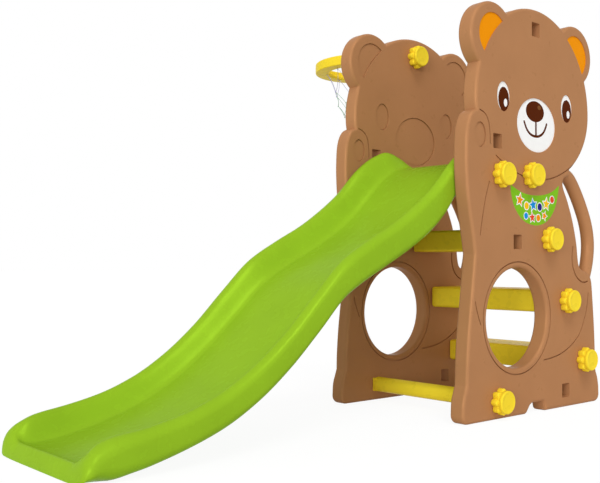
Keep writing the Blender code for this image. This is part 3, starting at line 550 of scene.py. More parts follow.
def tube_mesh(name, points, radius, resolution):
    curve = bpy.data.curves.new(name, "CURVE")
    curve.dimensions = "3D"
    spline = curve.splines.new("POLY")
    spline.points.add(len(points) - 1)
    for point, co in zip(spline.points, points):
        point.co = (*co, 1)
    curve.bevel_depth = radius
    curve.bevel_resolution = resolution
    curve.use_fill_caps = True
    return curve_mesh(name, curve)


def joined(meshes):
    bm = bmesh.new()
    for mesh in meshes:
        bm.from_mesh(mesh)
    out = bpy.data.meshes.new("joined")
    bm.to_mesh(out)
    bm.free()
    return out


def cut(obj, mesh, operation="DIFFERENCE"):
    """Adds a Boolean with a helper object, which is remembered for removal."""
    helper = new_object("helper", mesh)
    helper.location = obj.location
    helper.hide_render = True
    modifier = obj.modifiers.new("boolean", "BOOLEAN")
    modifier.operation = operation
    modifier.object = helper
    modifier.solver = "EXACT"
    helpers.append(helper)


def bake(obj, sharp_degrees=SHARP_DEGREES):
    """Applies an object's modifiers, drops the helpers and shades it smooth except at sharp edges."""
    mesh = evaluated_mesh(obj)
    obj.modifiers.clear()
    obj.data = mesh
    for helper in helpers:
        bpy.data.objects.remove(helper, do_unlink=True)
    helpers.clear()
    shade(mesh, sharp_degrees)


def shade(mesh, sharp_degrees=SHARP_DEGREES):
    mesh.shade_smooth()
    mesh.set_sharp_from_angle(angle=math.radians(sharp_degrees))


def weigh_normals(obj):
    modifier = obj.modifiers.new("weighted normals", "WEIGHTED_NORMAL")
    modifier.keep_sharp = True
    modifier.weight = 100


def bevel(obj, width, segments):
    modifier = obj.modifiers.new("edges", "BEVEL")
    modifier.width = width
    modifier.segments = segments
    modifier.limit_method = "ANGLE"
    modifier.angle_limit = math.radians(SHARP_DEGREES)


def add_loft(bm, rings):
    """A closed skin over rings of equally many vertices."""
    count = len(rings[0])
    for one, two in zip(rings, rings[1:]):
        for i in range(count):
            j = (i + 1) % count
            bm.faces.new((one[i], one[j], two[j], two[i]))
    bm.faces.new(rings[0])
    bm.faces.new(rings[-1])


def add_box(bm, low, high):
    size = [h - l for l, h in zip(low, high)]
    centre = [(h + l) / 2 for l, h in zip(low, high)]
    matrix = Matrix.Translation(centre) @ Matrix.Diagonal((*size, 1.0))
    bmesh.ops.create_cube(bm, size=1.0, matrix=matrix)


def add_rod(bm, start, end, radius, sides):
    start, end = Vector(start), Vector(end)
    line = end - start
    turn = line.to_track_quat("Z", "Y").to_matrix().to_4x4()
    matrix = Matrix.Translation((start + end) / 2) @ turn
    bmesh.ops.create_cone(bm, cap_ends=True, segments=sides, radius1=radius, radius2=radius,
                          depth=line.length, matrix=matrix)


def dress(obj, material, body="frame", stands_for=()):
    """Gives a finished piece its material and body, and hides the nodes that it stands for."""
    obj.data.materials.clear()
    obj.data.materials.append(material)
    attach(obj, body)
    if stands_for:
        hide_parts(*stands_for)


helpers = []


# Materials

def spread_noise(tree, coordinates, noise):
    """A noise in the object's own coordinates, spread over its low to high; returns the socket."""
    scale, detail, low, high = noise
    texture = tree.nodes.new("ShaderNodeTexNoise")
    texture.inputs["Scale"].default_value = scale
    texture.inputs["Detail"].default_value = detail
    tree.links.new(coordinates, texture.inputs["Vector"])
    spread = tree.nodes.new("ShaderNodeMapRange")
    spread.inputs["From Min"].default_value = 0.3
    spread.inputs["From Max"].default_value = 0.7
    spread.inputs["To Min"].default_value = low
    spread.inputs["To Max"].default_value = high
    tree.links.new(texture.outputs["Fac"], spread.inputs["Value"])
    return spread.outputs["Result"]


def toned_material(name, colour, tone):
    """A material whose colour a noise makes a little lighter and darker, and its parts."""
    material = bpy.data.materials.new(name)
    material.use_nodes = True
    tree = material.node_tree
    shader = tree.nodes["Principled BSDF"]
    coordinates = tree.nodes.new("ShaderNodeTexCoord").outputs["Object"]
    tint = tree.nodes.new("ShaderNodeHueSaturation")
    tint.inputs["Color"].default_value = (*colour, 1.0)
    tree.links.new(spread_noise(tree, coordinates, tone), tint.inputs["Value"])
    tree.links.new(tint.outputs["Color"], shader.inputs["Base Color"])
    return material, tree, shader, coordinates


def add_bump(tree, height, bump):
    node = tree.nodes.new("ShaderNodeBump")
    node.inputs["Strength"].default_value, node.inputs["Distance"].default_value = bump
    tree.links.new(height, node.inputs["Height"])
    return node


def moulded_plastic(name, colour, roughness):
    """Moulded plastic: faint mottling, uneven gloss, slow ripples and a fine surface grain."""
    material, tree, shader, coordinates = toned_material(name, colour, PLASTIC_TONE)
    shader.inputs["Specular IOR Level"].default_value = PLASTIC_SHINE
    shader.inputs["Metallic"].default_value = PLASTIC_GLINT
    scale, detail, low, high = PLASTIC_GLOSS
    gloss = spread_noise(tree, coordinates, (scale, detail, roughness + low, roughness + high))
    tree.links.new(gloss, shader.inputs["Roughness"])
    ripples = add_bump(tree, spread_noise(tree, coordinates, PLASTIC_RIPPLES), PLASTIC_RIPPLE_BUMP)
    grain = add_bump(tree, spread_noise(tree, coordinates, PLASTIC_GRAIN), PLASTIC_GRAIN_BUMP)
    tree.links.new(ripples.outputs["Normal"], grain.inputs["Normal"])
    tree.links.new(grain.outputs["Normal"], shader.inputs["Normal"])
    return material


def print_film(name, colour):
    """Printed film: a dense ink with a faint screen-print unevenness and a soft sheen."""
    material, tree, shader, coordinates = toned_material(name, colour, FILM_TONE)
    shader.inputs["Specular IOR Level"].default_value = FILM_SHINE
    tree.links.new(spread_noise(tree, coordinates, FILM_GLOSS), shader.inputs["Roughness"])
    return material


def plated_steel(name):
    material, tree, shader, coordinates = toned_material(name, STEEL_COLOUR, STEEL_TONE)
    shader.inputs["Metallic"].default_value = 1.0
    tree.links.new(spread_noise(tree, coordinates, STEEL_GLOSS), shader.inputs["Roughness"])
    return material


def twisted_string(name, colour):
    """Thin cord: fine diagonal strands as a bump, matt and slightly uneven in colour."""
    material, tree, shader, coordinates = toned_material(name, colour, STRING_TONE)
    shader.inputs["Roughness"].default_value = STRING_ROUGHNESS
    wave = tree.nodes.new("ShaderNodeTexWave")
    wave.bands_direction = "DIAGONAL"
    wave.inputs["Scale"].default_value = STRING_TWIST
    tree.links.new(coordinates, wave.inputs["Vector"])
    bump = add_bump(tree, wave.outputs["Fac"], STRING_BUMP)
    tree.links.new(bump.outputs["Normal"], shader.inputs["Normal"])
    return material


BROWN = moulded_plastic("brown_moulded", (0.470, 0.223, 0.098), 0.30)
YELLOW = moulded_plastic("yellow_moulded", (0.985, 0.745, 0.038), 0.28)
GREEN = moulded_plastic("green_moulded", (0.293, 0.505, 0.020), 0.25)
STEEL = plated_steel("plated_steel")
WHITE_FILM = print_film("white_print", (0.985, 0.985, 0.97))
DARK_FILM = print_film("dark_brown_print", (0.092, 0.015, 0.000))
NOSE_GLINT_FILM = print_film("light_brown_print", (0.200, 0.075, 0.020))
ORANGE_FILM = print_film("orange_print", (0.915, 0.310, 0.002))
GREEN_FILM = print_film("green_print", (0.225, 0.545, 0.018))
RED_FILM = print_film("red_print", (0.800, 0.070, 0.020))
BLUE_FILM = print_film("blue_print", (0.010, 0.300, 0.760))
NAVY_FILM = print_film("navy_print", (0.020, 0.020, 0.240))
SUN_FILM = print_film("sun_yellow_print", (0.960, 0.560, 0.010))
LILAC_STRING = twisted_string("lilac_string", (0.420, 0.420, 0.700))
GREEN_STRING = twisted_string("green_string", (0.300, 0.560, 0.380))
WHITE_STRING = twisted_string("white_string", (0.820, 0.820, 0.840))


# Side panels

def groove_paths():
    chin = []
    for i in range(CHIN_SPANS + 1):
        x = -CHIN_HALF_WIDTH + 2 * CHIN_HALF_WIDTH * i / CHIN_SPANS
        chin.append((HEAD_X + x, CHIN_LOW + CHIN_CURVE * x * x))
    return [chin] + [smooth(line, 5) for line in (ARM_LINE, PAW_LINE, REAR_LEG_LINE, FRONT_LEG_LINE)]


def hole_outline(mount):
    half_x, half_z = HOLE_SIZE[0] / 2, HOLE_SIZE[1] / 2
    r = HOLE_CORNER
    out = []
    for sx, sz, start in ((1, 1, 0), (-1, 1, 90), (-1, -1, 180), (1, -1, 270)):
        centre = (mount[0] + sx * (half_x - r), mount[1] + sz * (half_z - r))
        out += arc(centre, r, r, start, start + 90, 3)
    return out


def shrunk(outline, inset):
    """The same closed outline, drawn in towards its middle by about the given inset."""
    cx = sum(x for x, z in outline) / len(outline)
    cz = sum(z for x, z in outline) / len(outline)
    out = []
    for x, z in outline:
        reach = math.hypot(x - cx, z - cz)
        out.append((cx + (x - cx) * (1 - inset / reach), cz + (z - cz) * (1 - inset / reach)))
    return out


def make_panel_mesh():
    """One panel centred on y = 0, with handrail, holes, recesses and moulded lines on both faces."""
    half = PANEL_THICKNESS / 2
    belly = oval(BELLY_CENTRE, (BELLY_RADIUS, BELLY_RADIUS), 128)
    skin = flat_mesh("skin", [panel_outline(), belly], half, PANEL_EDGE_ROUND, 4)
    panel = new_object("panel_work", skin)
    rail = tube_mesh("rail", [(x, 0, z) for x, z in smooth(RAIL_LINE, 5)], RAIL_RADIUS, 6)
    cut(panel, rail, "UNION")
    mounts = [*MOUNTS.values(), HOOP_MOUNT, *SPARE_HOLES]
    cut(panel, joined([flat_mesh("hole", [hole_outline(m)], PANEL_THICKNESS) for m in mounts]))
    recesses = [oval(eye, EYE_HALF, 48) for eye in EYES]
    recesses += [oval(MUZZLE_CENTRE, MUZZLE_HALF, 96), oval(PAW_PAD_CENTRE, PAW_PAD_HALF, 48)]
    recesses += [ear_print(1), ear_print(-1)]
    ring_radii = (BELLY_RING + GROOVE_HALF_WIDTH, BELLY_RING - GROOVE_HALF_WIDTH)
    ring = [oval(BELLY_CENTRE, (radius, radius), 128) for radius in ring_radii]
    hand = stroke(smooth(HAND_LINE, 5), HAND_GROOVE_HALF_WIDTH)
    sunk = [([outline], RECESS_DEPTH) for outline in recesses]
    grooves = [([outline, shrunk(outline, RIM_GROOVE)], RIM_GROOVE_DEPTH) for outline in recesses]
    grooves += [([stroke(path, GROOVE_HALF_WIDTH)], GROOVE_DEPTH) for path in groove_paths()]
    grooves += [(ring, GROOVE_DEPTH), ([hand], HAND_GROOVE_DEPTH)]
    # Recesses and grooves overlap, so each group is a cutter of its own
    for group in (sunk, grooves):
        cutters = []
        for side in (-1, 1):
            for outlines, depth in group:
                cutters.append(flat_mesh("sunk", outlines, depth))
                cutters[-1].transform(Matrix.Translation((0, side * half, 0)))
        cut(panel, joined(cutters))
    bake(panel, 38)
    mesh = panel.data
    bpy.data.objects.remove(panel, do_unlink=True)
    mesh.name = "panel"
    return mesh


def film(name, outline, side, level, material, sunk=0.0):
    """Printed film on a panel's outer face; level 0 lies on the plastic, 1 on the film below."""
    mesh = flat_mesh(name, [outline], FILM / 2)
    shade(mesh)
    y = side * (OUTER_Y - sunk + FILM * (level + 0.5) + FILM_LIFT)
    dress(new_object(name, mesh, (0, y, 0)), material)


def stroke(points, half_width):
    """Closed outline of a line of constant width with round ends."""
    left, right = [], []
    for i, (x, z) in enumerate(points):
        a = Vector(points[max(i - 1, 0)])
        b = Vector(points[min(i + 1, len(points) - 1)])
        way = (b - a).normalized()
        left.append((x - way.y * half_width, z + way.x * half_width))
        right.append((x + way.y * half_width, z - way.x * half_width))

    def cap(at, way):
        start = math.degrees(math.atan2(way.y, way.x))
        return arc(at, half_width, half_width, start + 90, start - 90, 8)[1:-1]

    end = (Vector(points[-1]) - Vector(points[-2])).normalized()
    begin = (Vector(points[0]) - Vector(points[1])).normalized()
    return left + cap(points[-1], end) + right[::-1] + cap(points[0], begin)


def star(centre, radius, turn, inner):
    """Outline of a star turned by an angle in degrees; inner is the share of its valleys."""
    out = []
    for i in range(2 * STAR_POINTS):
        r = radius if i % 2 == 0 else radius * inner
        angle = math.radians(turn + 180.0 * i / STAR_POINTS)
        out.append((centre[0] + r * math.cos(angle), centre[1] + r * math.sin(angle)))
    return out


def make_face(word, side):
    """Eyes, muzzle, nose, mouth and inner ears in the recesses of one panel's outer face."""
    def face_film(name, outline, level, material):
        film(f"{name}_{word}", outline, side, level, material, RECESS_DEPTH)

    for n, (x, z) in enumerate(EYES):
        eye = f"{word}_{n}"
        pupil = (x + PUPIL_SHIFT[0], z + PUPIL_SHIFT[1])
        glint = (x + GLINT_SHIFT[0], z + GLINT_SHIFT[1])
        film(f"eye_white_{eye}", oval((x, z), EYE_HALF), side, 0, WHITE_FILM, RECESS_DEPTH)
        film(f"pupil_{eye}", oval(pupil, PUPIL_HALF), side, 1, DARK_FILM, RECESS_DEPTH)
        film(f"eye_glint_{eye}", oval(glint, GLINT_HALF, 32), side, 2, WHITE_FILM, RECESS_DEPTH)
    face_film("muzzle", oval(MUZZLE_CENTRE, MUZZLE_HALF, 96), 0, WHITE_FILM)
    face_film("nose", oval(NOSE_CENTRE, NOSE_HALF), 1, DARK_FILM)
    face_film("nose_glint", oval(NOSE_GLINT, NOSE_GLINT_HALF, 24), 2, NOSE_GLINT_FILM)
    face_film("smile", stroke(smooth(MOUTH_LINE), MOUTH_STROKE), 1, DARK_FILM)
    face_film("lip", stroke(LIP_LINE, MOUTH_STROKE), 2, DARK_FILM)
    for ear_side, ear_word in ((1, "rear"), (-1, "front")):
        face_film(f"inner_ear_{ear_word}", ear_print(ear_side), 0, ORANGE_FILM)


def make_bib(word, side):
    """Green bib with bordered stars and dots: kind, centre, radius, film and turn of each."""
    bib = [BIB_TIPS[0]] + smooth([BIB_TIPS[0]] + BIB_BOTTOM + [BIB_TIPS[1]], 5)[1:]
    bib += smooth([BIB_TIPS[1]] + BIB_TOP + [BIB_TIPS[0]], 5)[1:-1]
    film(f"bib_{word}", bib, side, 0, GREEN_FILM)
    motifs = [
        ("star", (0.2010, 0.5330), 0.0155, ORANGE_FILM, 80),
        ("dot", (0.2290, 0.5195), 0.0090, SUN_FILM, 0),
        ("star", (0.2570, 0.5225), 0.0155, BLUE_FILM, 100),
        ("dot", (0.2855, 0.5185), 0.0095, NAVY_FILM, 0),
        ("star", (0.3140, 0.5270), 0.0155, SUN_FILM, 84),
        ("dot", (0.3400, 0.5395), 0.0085, RED_FILM, 0),
        ("dot", (0.2270, 0.4945), 0.0080, BLUE_FILM, 0),
        ("star", (0.2530, 0.4910), 0.0130, RED_FILM, 95),
        ("dot", (0.2790, 0.4905), 0.0085, ORANGE_FILM, 0),
        ("star", (0.3060, 0.4965), 0.0115, ORANGE_FILM, 70),
    ]
    for n, (kind, centre, radius, material, turn) in enumerate(motifs):
        if kind == "star":
            shape = star(centre, radius, turn, STAR_INNER)
            border = star(centre, radius * STAR_BORDER, turn, STAR_BORDER_INNER)
        else:
            shape, border = (oval(centre, (r, r), 32) for r in (radius, radius * DOT_BORDER))
        film(f"motif_border_{word}_{n}", border, side, 1, WHITE_FILM)
        film(f"motif_{word}_{n}", shape, side, 2, material)


def make_panels():
    mesh = make_panel_mesh()
    for side, word in ((-1, "left"), (1, "right")):
        own_mesh = mesh if side < 0 else mesh.copy()
        panel = new_object(f"side_panel_{word}", own_mesh, (0, side * MID_Y, 0))
        weigh_normals(panel)
        dress(panel, BROWN, stands_for=[f"panel_{word}"])
        make_face(word, side)
        make_bib(word, side)


# Chute

def chute_section(x, corner_steps, slope_steps):
    """Closed loop of (y, z) points of the chute's cross-section at x."""
    from_toe = x - CHUTE_TOE_X
    narrowing = 0.0
    if from_toe < CHUTE_TOE_PLAN_ROUND:
        left = CHUTE_TOE_PLAN_ROUND - from_toe
        narrowing = CHUTE_TOE_PLAN_ROUND - math.sqrt(CHUTE_TOE_PLAN_ROUND ** 2 - left ** 2)
    half_width = CHUTE_HALF_WIDTH - narrowing
    rim = along(RIM_LINE, x)
    bed = along(BED_LINE, x)
    under = along(UNDERSIDE_LINE, x)
    if from_toe < CHUTE_LIP_ROUND:
        height = math.sqrt(1 - (1 - from_toe / CHUTE_LIP_ROUND) ** 2)
        bed *= height * (1 - CHUTE_LIP_LEAST) + CHUTE_LIP_LEAST
    if from_toe < CHUTE_LIP_LENGTH:
        bed += CHUTE_LIP_RISE * math.sin(math.pi * from_toe / CHUTE_LIP_LENGTH) ** 2
    to_end = CHUTE_DECK_END - x
    if to_end < CHUTE_END_ROUND:
        inset = CHUTE_END_ROUND - math.sqrt(CHUTE_END_ROUND ** 2 - (CHUTE_END_ROUND - to_end) ** 2)
        half_width -= inset
        rim -= inset
        bed -= inset
        under += inset
    rim = max(rim, bed)
    room = (rim - under) * CHUTE_ROUND_SHARE
    softer = CHUTE_SOFT_EXTRA * max(0.0, 1 - from_toe / CHUTE_SOFT_LENGTH)
    rim_round = min(CHUTE_RIM_ROUND + softer, room)
    foot_height = min(CHUTE_FOOT_ROUND + softer, room)
    foot_width = foot_height
    if from_toe < CHUTE_TOE_FOOT_LENGTH:
        foot_width += CHUTE_TOE_FOOT_EXTRA * (1 - from_toe / CHUTE_TOE_FOOT_LENGTH) ** 2
    half = [(0.0, under)]
    foot = (half_width - foot_width, under + foot_height)
    half += arc(foot, foot_width, foot_height, -90, 0, corner_steps)
    crest = half_width - rim_round
    half += arc((crest, rim - rim_round), rim_round, rim_round, 0, 90, corner_steps)
    bed_half = CHUTE_BED_HALF - narrowing
    for k in range(1, slope_steps + 1):
        u = 1 - k / slope_steps
        rise = (1 - math.cos(math.pi * u)) / 2
        half.append((bed_half + (crest - bed_half) * u, bed + (rim - bed) * rise))
    half.append((bed_half / 2, bed))
    half.append((0.0, bed))
    return half + [(-y, z) for y, z in reversed(half[1:-1])]


def chute_stations():
    """x of the sections: close together at both ends, evenly spaced between."""
    stations = []
    x = CHUTE_TOE_X
    step = CHUTE_FIRST_STEP
    while x < CHUTE_DECK_END - CHUTE_END_ROUND - CHUTE_STATION_STEP / 2:
        stations.append(x)
        step = min(step * CHUTE_STEP_GROWTH, CHUTE_STATION_STEP)
        x += step
    for i in range(CHUTE_END_SPANS + 1):
        angle = math.pi / 2 * i / CHUTE_END_SPANS
        stations.append(CHUTE_DECK_END - CHUTE_END_ROUND * math.cos(angle))
    return stations


def add_spigots(bm, mounts, root_y):
    """Square spigots at both ends of a piece, from root_y out into the panels' holes."""
    half_x = HOLE_SIZE[0] / 2 - SPIGOT_CLEARANCE
    half_z = HOLE_SIZE[1] / 2 - SPIGOT_CLEARANCE
    for mount in mounts:
        for side in (-1, 1):
            ends = sorted((side * root_y, side * (OUTER_Y - SPIGOT_SHORTFALL)))
            low = (mount[0] - half_x, ends[0], mount[1] - half_z)
            add_box(bm, low, (mount[0] + half_x, ends[1], mount[1] + half_z))


def add_ends(piece, mounts, half_y):
    spigots = mesh_from(lambda bm: add_spigots(bm, mounts, half_y - SPIGOT_ROOT), "spigots")
    cut(piece, spigots, "UNION")


def make_chute():
    def loft(bm):
        rings = []
        for x in chute_stations():
            rings.append([bm.verts.new((x, y, z)) for y, z in chute_section(x, 9, 22)])
        add_loft(bm, rings)

    chute = new_object("slide_chute", mesh_from(loft, "slide_chute"))
    add_ends(chute, [MOUNTS["chute_front"], MOUNTS["chute_rear"]], CHUTE_HALF_WIDTH)
    bake(chute, 50)
    dress(chute, GREEN, stands_for=["chute"])


# Steps and crossbar

def make_step(node):
    x, z = MOUNTS[node]
    half_y = INNER_Y - FIT_GAP

    def box(bm):
        low = (x - STEP_DEPTH / 2, -half_y, z - STEP_HEIGHT / 2)
        add_box(bm, low, (x + STEP_DEPTH / 2, half_y, z + STEP_HEIGHT / 2))

    step = new_object("tread_" + node, mesh_from(box, node))
    bevel(step, STEP_EDGE_ROUND, 6)
    add_ends(step, [MOUNTS[node]], half_y)
    bake(step)
    weigh_normals(step)
    dress(step, YELLOW, stands_for=[node])


def make_bar():
    x, z = MOUNTS["bar"]
    half_y = INNER_Y - FIT_GAP

    def rod(bm):
        add_rod(bm, (x, -half_y, z), (x, half_y, z), BAR_RADIUS, 64)

    bar = new_object("front_crossbar", mesh_from(rod, "crossbar"))
    bevel(bar, BAR_EDGE_ROUND, 5)
    add_ends(bar, [MOUNTS["bar"]], half_y)
    bake(bar)
    weigh_normals(bar)
    dress(bar, YELLOW, stands_for=["crossbar"])


# Knobs

def lobe(angle):
    """1 on the crest of a lobe, 0 in the valley between two: half an ellipse, half a cosine."""
    pitch = 2 * math.pi / KNOB_LOBES
    away = abs((angle + pitch / 2) % pitch - pitch / 2) / (pitch / 2)
    least = math.sqrt(1 - LOBE_BULGE)
    ellipse = (math.sqrt(1 - LOBE_BULGE * away * away) - least) / (1 - least)
    return (ellipse + (1 + math.cos(math.pi * away)) / 2) / 2


def knob_rings():
    """Rings of (radius, share of the lobes, height) from the seat to the middle of the cap."""
    rings = [(KNOB_SEAT_CENTRE, 0, 0.0), (KNOB_RADIUS - KNOB_SEAT_ROUND, 1, 0.0)]
    rings += [(KNOB_RADIUS, 1, KNOB_SEAT_ROUND), (KNOB_RADIUS, 1, KNOB_WHEEL - KNOB_WHEEL_ROUND)]
    for i in range(1, KNOB_WHEEL_STEPS + 1):
        angle = math.pi / 2 * i / KNOB_WHEEL_STEPS
        radius = KNOB_RADIUS - KNOB_WHEEL_ROUND * (1 - math.cos(angle))
        lobed = 1 - KNOB_LOBE_FADE * i / KNOB_WHEEL_STEPS
        rings.append((radius, lobed, KNOB_WHEEL - KNOB_WHEEL_ROUND * (1 - math.sin(angle))))
    rings += [(KNOB_NECK_RADIUS + out, lobed, KNOB_WHEEL + up) for out, lobed, up in NECK_RINGS]
    rings += [(KNOB_CAP_RADIUS + out, 0, KNOB_WHEEL + up) for out, up in CAP_FOOT_RINGS]
    for i in range(KNOB_CAP_STEPS + 1):
        angle = math.pi / 2 * i / KNOB_CAP_STEPS
        radius = KNOB_CAP_RADIUS - KNOB_CAP_ROUND * (1 - math.cos(angle))
        rings.append((radius, 0, KNOB_HEIGHT - KNOB_CAP_ROUND * (1 - math.sin(angle))))
    return rings + [(radius, 0, KNOB_HEIGHT - depth) for radius, depth in CAP_DISH_RINGS]


def knob_mesh():
    def build(bm):
        loops = []
        for radius, lobed, height in knob_rings():
            loop = []
            for i in range(KNOB_POINTS):
                angle = 2 * math.pi * i / KNOB_POINTS
                r = radius - lobed * KNOB_LOBE_DEPTH * (1 - lobe(angle))
                loop.append(bm.verts.new((r * math.cos(angle), r * math.sin(angle), height)))
            loops.append(loop)
        add_loft(bm, loops)

    mesh = mesh_from(build, "knob")
    shade(mesh, 60)
    return mesh


def make_knobs():
    mesh = knob_mesh()
    places = [("hoop", HOOP_MOUNT, INNER_Y, -1)]
    for side, word in ((-1, "left"), (1, "right")):
        places += [(f"{word}_{name}", mount, side * OUTER_Y, side) for name, mount in MOUNTS.items()]
    for label, mount, face_y, outward in places:
        seat = (mount[0], face_y + outward * FIT_GAP, mount[1])
        knob = new_object("hand_knob_" + label, mesh, seat, (math.radians(-90 * outward), 0, 0))
        dress(knob, YELLOW, "knob_" + label, ["knob_" + label])


# Hoop and net

def turned(name, profile, steps):
    """A ring turned from a closed profile of (radius, height) points."""
    mesh = bpy.data.meshes.new(name)
    edges = [(i, (i + 1) % len(profile)) for i in range(len(profile))]
    mesh.from_pydata([(r, 0, h) for r, h in profile], edges, [])
    obj = new_object(name + "_profile", mesh)
    screw = obj.modifiers.new("turn", "SCREW")
    screw.steps = steps
    screw.render_steps = steps
    screw.use_merge_vertices = True
    screw.merge_threshold = 0.00001
    turned_mesh = evaluated_mesh(obj)
    bpy.data.objects.remove(obj, do_unlink=True)
    bm = bmesh.new()
    bm.from_mesh(turned_mesh)
    bmesh.ops.recalc_face_normals(bm, faces=bm.faces)
    bm.to_mesh(turned_mesh)
    bm.free()
    return turned_mesh


def rounded(corners, radius):
    """Closed profile with its convex corners rounded; corners are (r, h, radius factor)."""
    out = []
    for i, (x, z, factor) in enumerate(corners):
        here = Vector((x, z))
        before = (Vector(corners[i - 1][:2]) - here).normalized()
        after = (Vector(corners[(i + 1) % len(corners)][:2]) - here).normalized()
        r = radius * factor
        a, b = here + before * r, here + after * r
        for k in range(HOOP_EDGE_STEPS + 1):
            t = k / HOOP_EDGE_STEPS
            out.append(tuple(a * (1 - t) ** 2 + here * 2 * t * (1 - t) + b * t * t))
    return out


def make_hoop():
    top = HOOP_HEIGHT / 2
    inner = HOOP_RADIUS - HOOP_TOP_WIDTH
    flange = HOOP_RADIUS - HOOP_FLANGE_WIDTH
    lip = -top + HOOP_FLANGE_HEIGHT
    corners = [
        (HOOP_RADIUS, top, 1.6), (HOOP_RADIUS, -top, 1), (flange, -top, 0.8), (flange, lip, 0.8),
        (inner, lip, 0.5), (inner, top, 1.4),
    ]
    ring = turned("ball_hoop", rounded(corners, HOOP_EDGE), 128)
    hoop = new_object("ball_hoop", ring, HOOP_CENTRE)
    back_y = -HOOP_RADIUS - HOOP_STANDOFF + FIT_GAP
    half = HOOP_BRACKET_WIDTH / 2
    ring_y = -math.sqrt((HOOP_RADIUS - HOOP_BRACKET_OVERLAP) ** 2 - half ** 2)

    def bracket(bm):
        add_box(bm, (-half, back_y, -top), (half, ring_y, top))

    block = new_object("block", mesh_from(bracket, "block"), HOOP_CENTRE)
    bevel(block, HOOP_BRACKET_EDGE, 3)
    block_mesh = evaluated_mesh(block)
    bpy.data.objects.remove(block, do_unlink=True)
    cut(hoop, block_mesh, "UNION")

    def spigot(bm):
        half_x = HOLE_SIZE[0] / 2 - SPIGOT_CLEARANCE
        half_z = HOLE_SIZE[1] / 2 - SPIGOT_CLEARANCE
        end = INNER_Y + SPIGOT_SHORTFALL - HOOP_CENTRE[1]
        add_box(bm, (-half_x, end, -half_z), (half_x, back_y + HOOP_SPIGOT_ROOT, half_z))

    cut(hoop, mesh_from(spigot, "spigot"), "UNION")
    bake(hoop)
    weigh_normals(hoop)
    dress(hoop, YELLOW, stands_for=["hoop"])


def make_net():
    """Knotted string net: zigzag rows from the ring down, in three colours of string."""
    top = -HOOP_HEIGHT / 2 - FIT_GAP

    def knot(row, k):
        radius, drop = NET_ROWS[row]
        angle = 2 * math.pi * (k + row / 2) / NET_MESHES
        return Vector((radius * math.cos(angle), radius * math.sin(angle), top - drop))

    def sagging(a, b):
        """A string between two points, bowed a little inwards and down."""
        out = []
        for i in range(STRING_SPANS + 1):
            t = i / STRING_SPANS
            p = a.lerp(b, t)
            bow = 4 * t * (1 - t) * STRING_BOW
            out.append((p.x * (1 - bow), p.y * (1 - bow), p.z - STRING_DROP * bow))
        return out

    def add_knot(bm, place):
        at = Matrix.Translation(place)
        bmesh.ops.create_icosphere(bm, subdivisions=2, radius=KNOT_RADIUS, matrix=at)

    bands = [
        ("net_upper", [0], LILAC_STRING), ("net_middle", [1, 2], GREEN_STRING),
        ("net_lower", [3], WHITE_STRING),
    ]
    for name, rows, material in bands:
        bm = bmesh.new()
        for row in rows:
            for k in range(NET_MESHES):
                for step in (0, 1):
                    path = sagging(knot(row, k), knot(row + 1, k - step))
                    bm.from_mesh(tube_mesh("strand", path, STRING_RADIUS, 2))
                add_knot(bm, knot(row + 1, k))
                if row == 0:
                    add_knot(bm, knot(0, k) - Vector((0, 0, KNOT_RADIUS)))
        mesh = bpy.data.meshes.new(name)
        bm.to_mesh(mesh)
        bm.free()
        shade(mesh, 60)
        net = new_object(name, mesh, HOOP_CENTRE)
        dress(net, material, stands_for=["hoop_net"])


# Stage

def seen_directly(tree):
    """1 where the camera, a mirror or glass sees the surface, 0 where it only lights others."""
    paths = tree.nodes.new("ShaderNodeLightPath")
    out = paths.outputs["Is Camera Ray"]
    for name in ("Is Glossy Ray", "Is Transmission Ray"):
        either = tree.nodes.new("ShaderNodeMath")
        either.operation = "MAXIMUM"
        tree.links.new(out, either.inputs[0])
        tree.links.new(paths.outputs[name], either.inputs[1])
        out = either.outputs[0]
    return out


def add_diffuse(tree, grey):
    node = tree.nodes.new("ShaderNodeBsdfDiffuse")
    node.inputs["Color"].default_value = (grey, grey, grey, 1.0)
    return node.outputs[0]


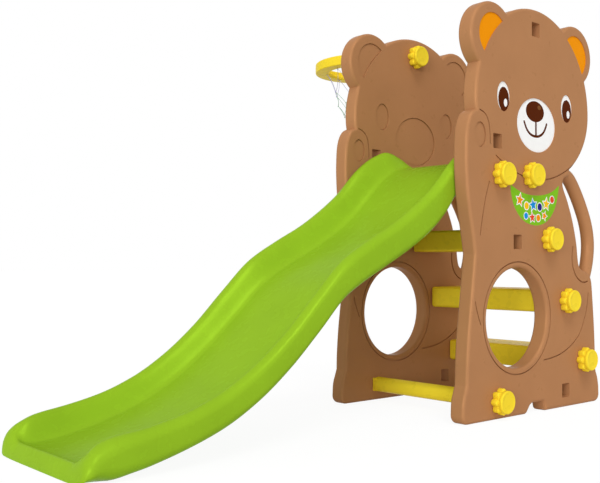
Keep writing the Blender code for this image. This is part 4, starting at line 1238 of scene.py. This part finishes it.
def make_stage():
    mesh = mesh_from(lambda bm: bmesh.ops.create_grid(bm, x_segments=1, y_segments=1, size=FLOOR_SIZE),
                     "floor")
    floor = linked_object("floor", mesh)
    floor.location = (0, 0, cad_low.z - FLOOR_DROP)
    material = bpy.data.materials.new("pale_floor")
    material.use_nodes = True
    tree = material.node_tree
    tree.nodes.clear()
    output = tree.nodes.new("ShaderNodeOutputMaterial")
    glow = tree.nodes.new("ShaderNodeEmission")
    glow.inputs["Color"].default_value = (1.0, 1.0, 1.0, 1.0)
    glow.inputs["Strength"].default_value = FLOOR_GLOW
    seen = tree.nodes.new("ShaderNodeAddShader")
    tree.links.new(add_diffuse(tree, FLOOR_DARK), seen.inputs[0])
    tree.links.new(glow.outputs[0], seen.inputs[1])
    mix = tree.nodes.new("ShaderNodeMixShader")
    tree.links.new(seen_directly(tree), mix.inputs["Fac"])
    tree.links.new(add_diffuse(tree, FLOOR_PALE), mix.inputs[1])
    tree.links.new(seen.outputs[0], mix.inputs[2])
    tree.links.new(mix.outputs[0], output.inputs["Surface"])
    mesh.materials.append(material)


def make_world():
    world = bpy.data.worlds.new("studio")
    bpy.context.scene.world = world
    world.use_nodes = True
    tree = world.node_tree
    background = tree.nodes["Background"]
    background.inputs["Color"].default_value = (1.0, 1.0, 1.0, 1.0)
    strength = tree.nodes.new("ShaderNodeMapRange")
    strength.inputs["To Min"].default_value = WORLD_LIGHT
    strength.inputs["To Max"].default_value = 1.0
    tree.links.new(seen_directly(tree), strength.inputs["Value"])
    tree.links.new(strength.outputs["Result"], background.inputs["Strength"])


def add_sun(name, towards, strength, degrees):
    """A sun lamp; towards points from the object to the lamp."""
    light = bpy.data.lights.new(name, "SUN")
    light.energy = strength
    light.angle = math.radians(degrees)
    lamp = linked_object(name, light)
    lamp.rotation_euler = Vector(towards).to_track_quat("Z", "Y").to_euler()


def make_camera():
    camera = bpy.data.cameras.new("camera")
    camera.lens = CAMERA_LENS
    camera.shift_x, camera.shift_y = CAMERA_SHIFT
    obj = linked_object("camera", camera)
    obj.location = ORIGIN + Vector(CAMERA_PLACE)
    obj.rotation_euler = [math.radians(a) for a in CAMERA_TURN]
    bpy.context.scene.camera = obj


make_camera()
make_panels()
make_chute()
for step_node in ("step_bottom", "step_middle", "step_top"):
    make_step(step_node)
make_bar()
make_knobs()
make_hoop()
make_net()
for node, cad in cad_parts.items():
    if node.startswith(("stud_", "insert_")):
        cad.data.materials.clear()
        cad.data.materials.append(STEEL)
make_stage()
make_world()
for sun in SUNS:
    add_sun(*sun)
bpy.context.scene.view_settings.view_transform = "Standard"
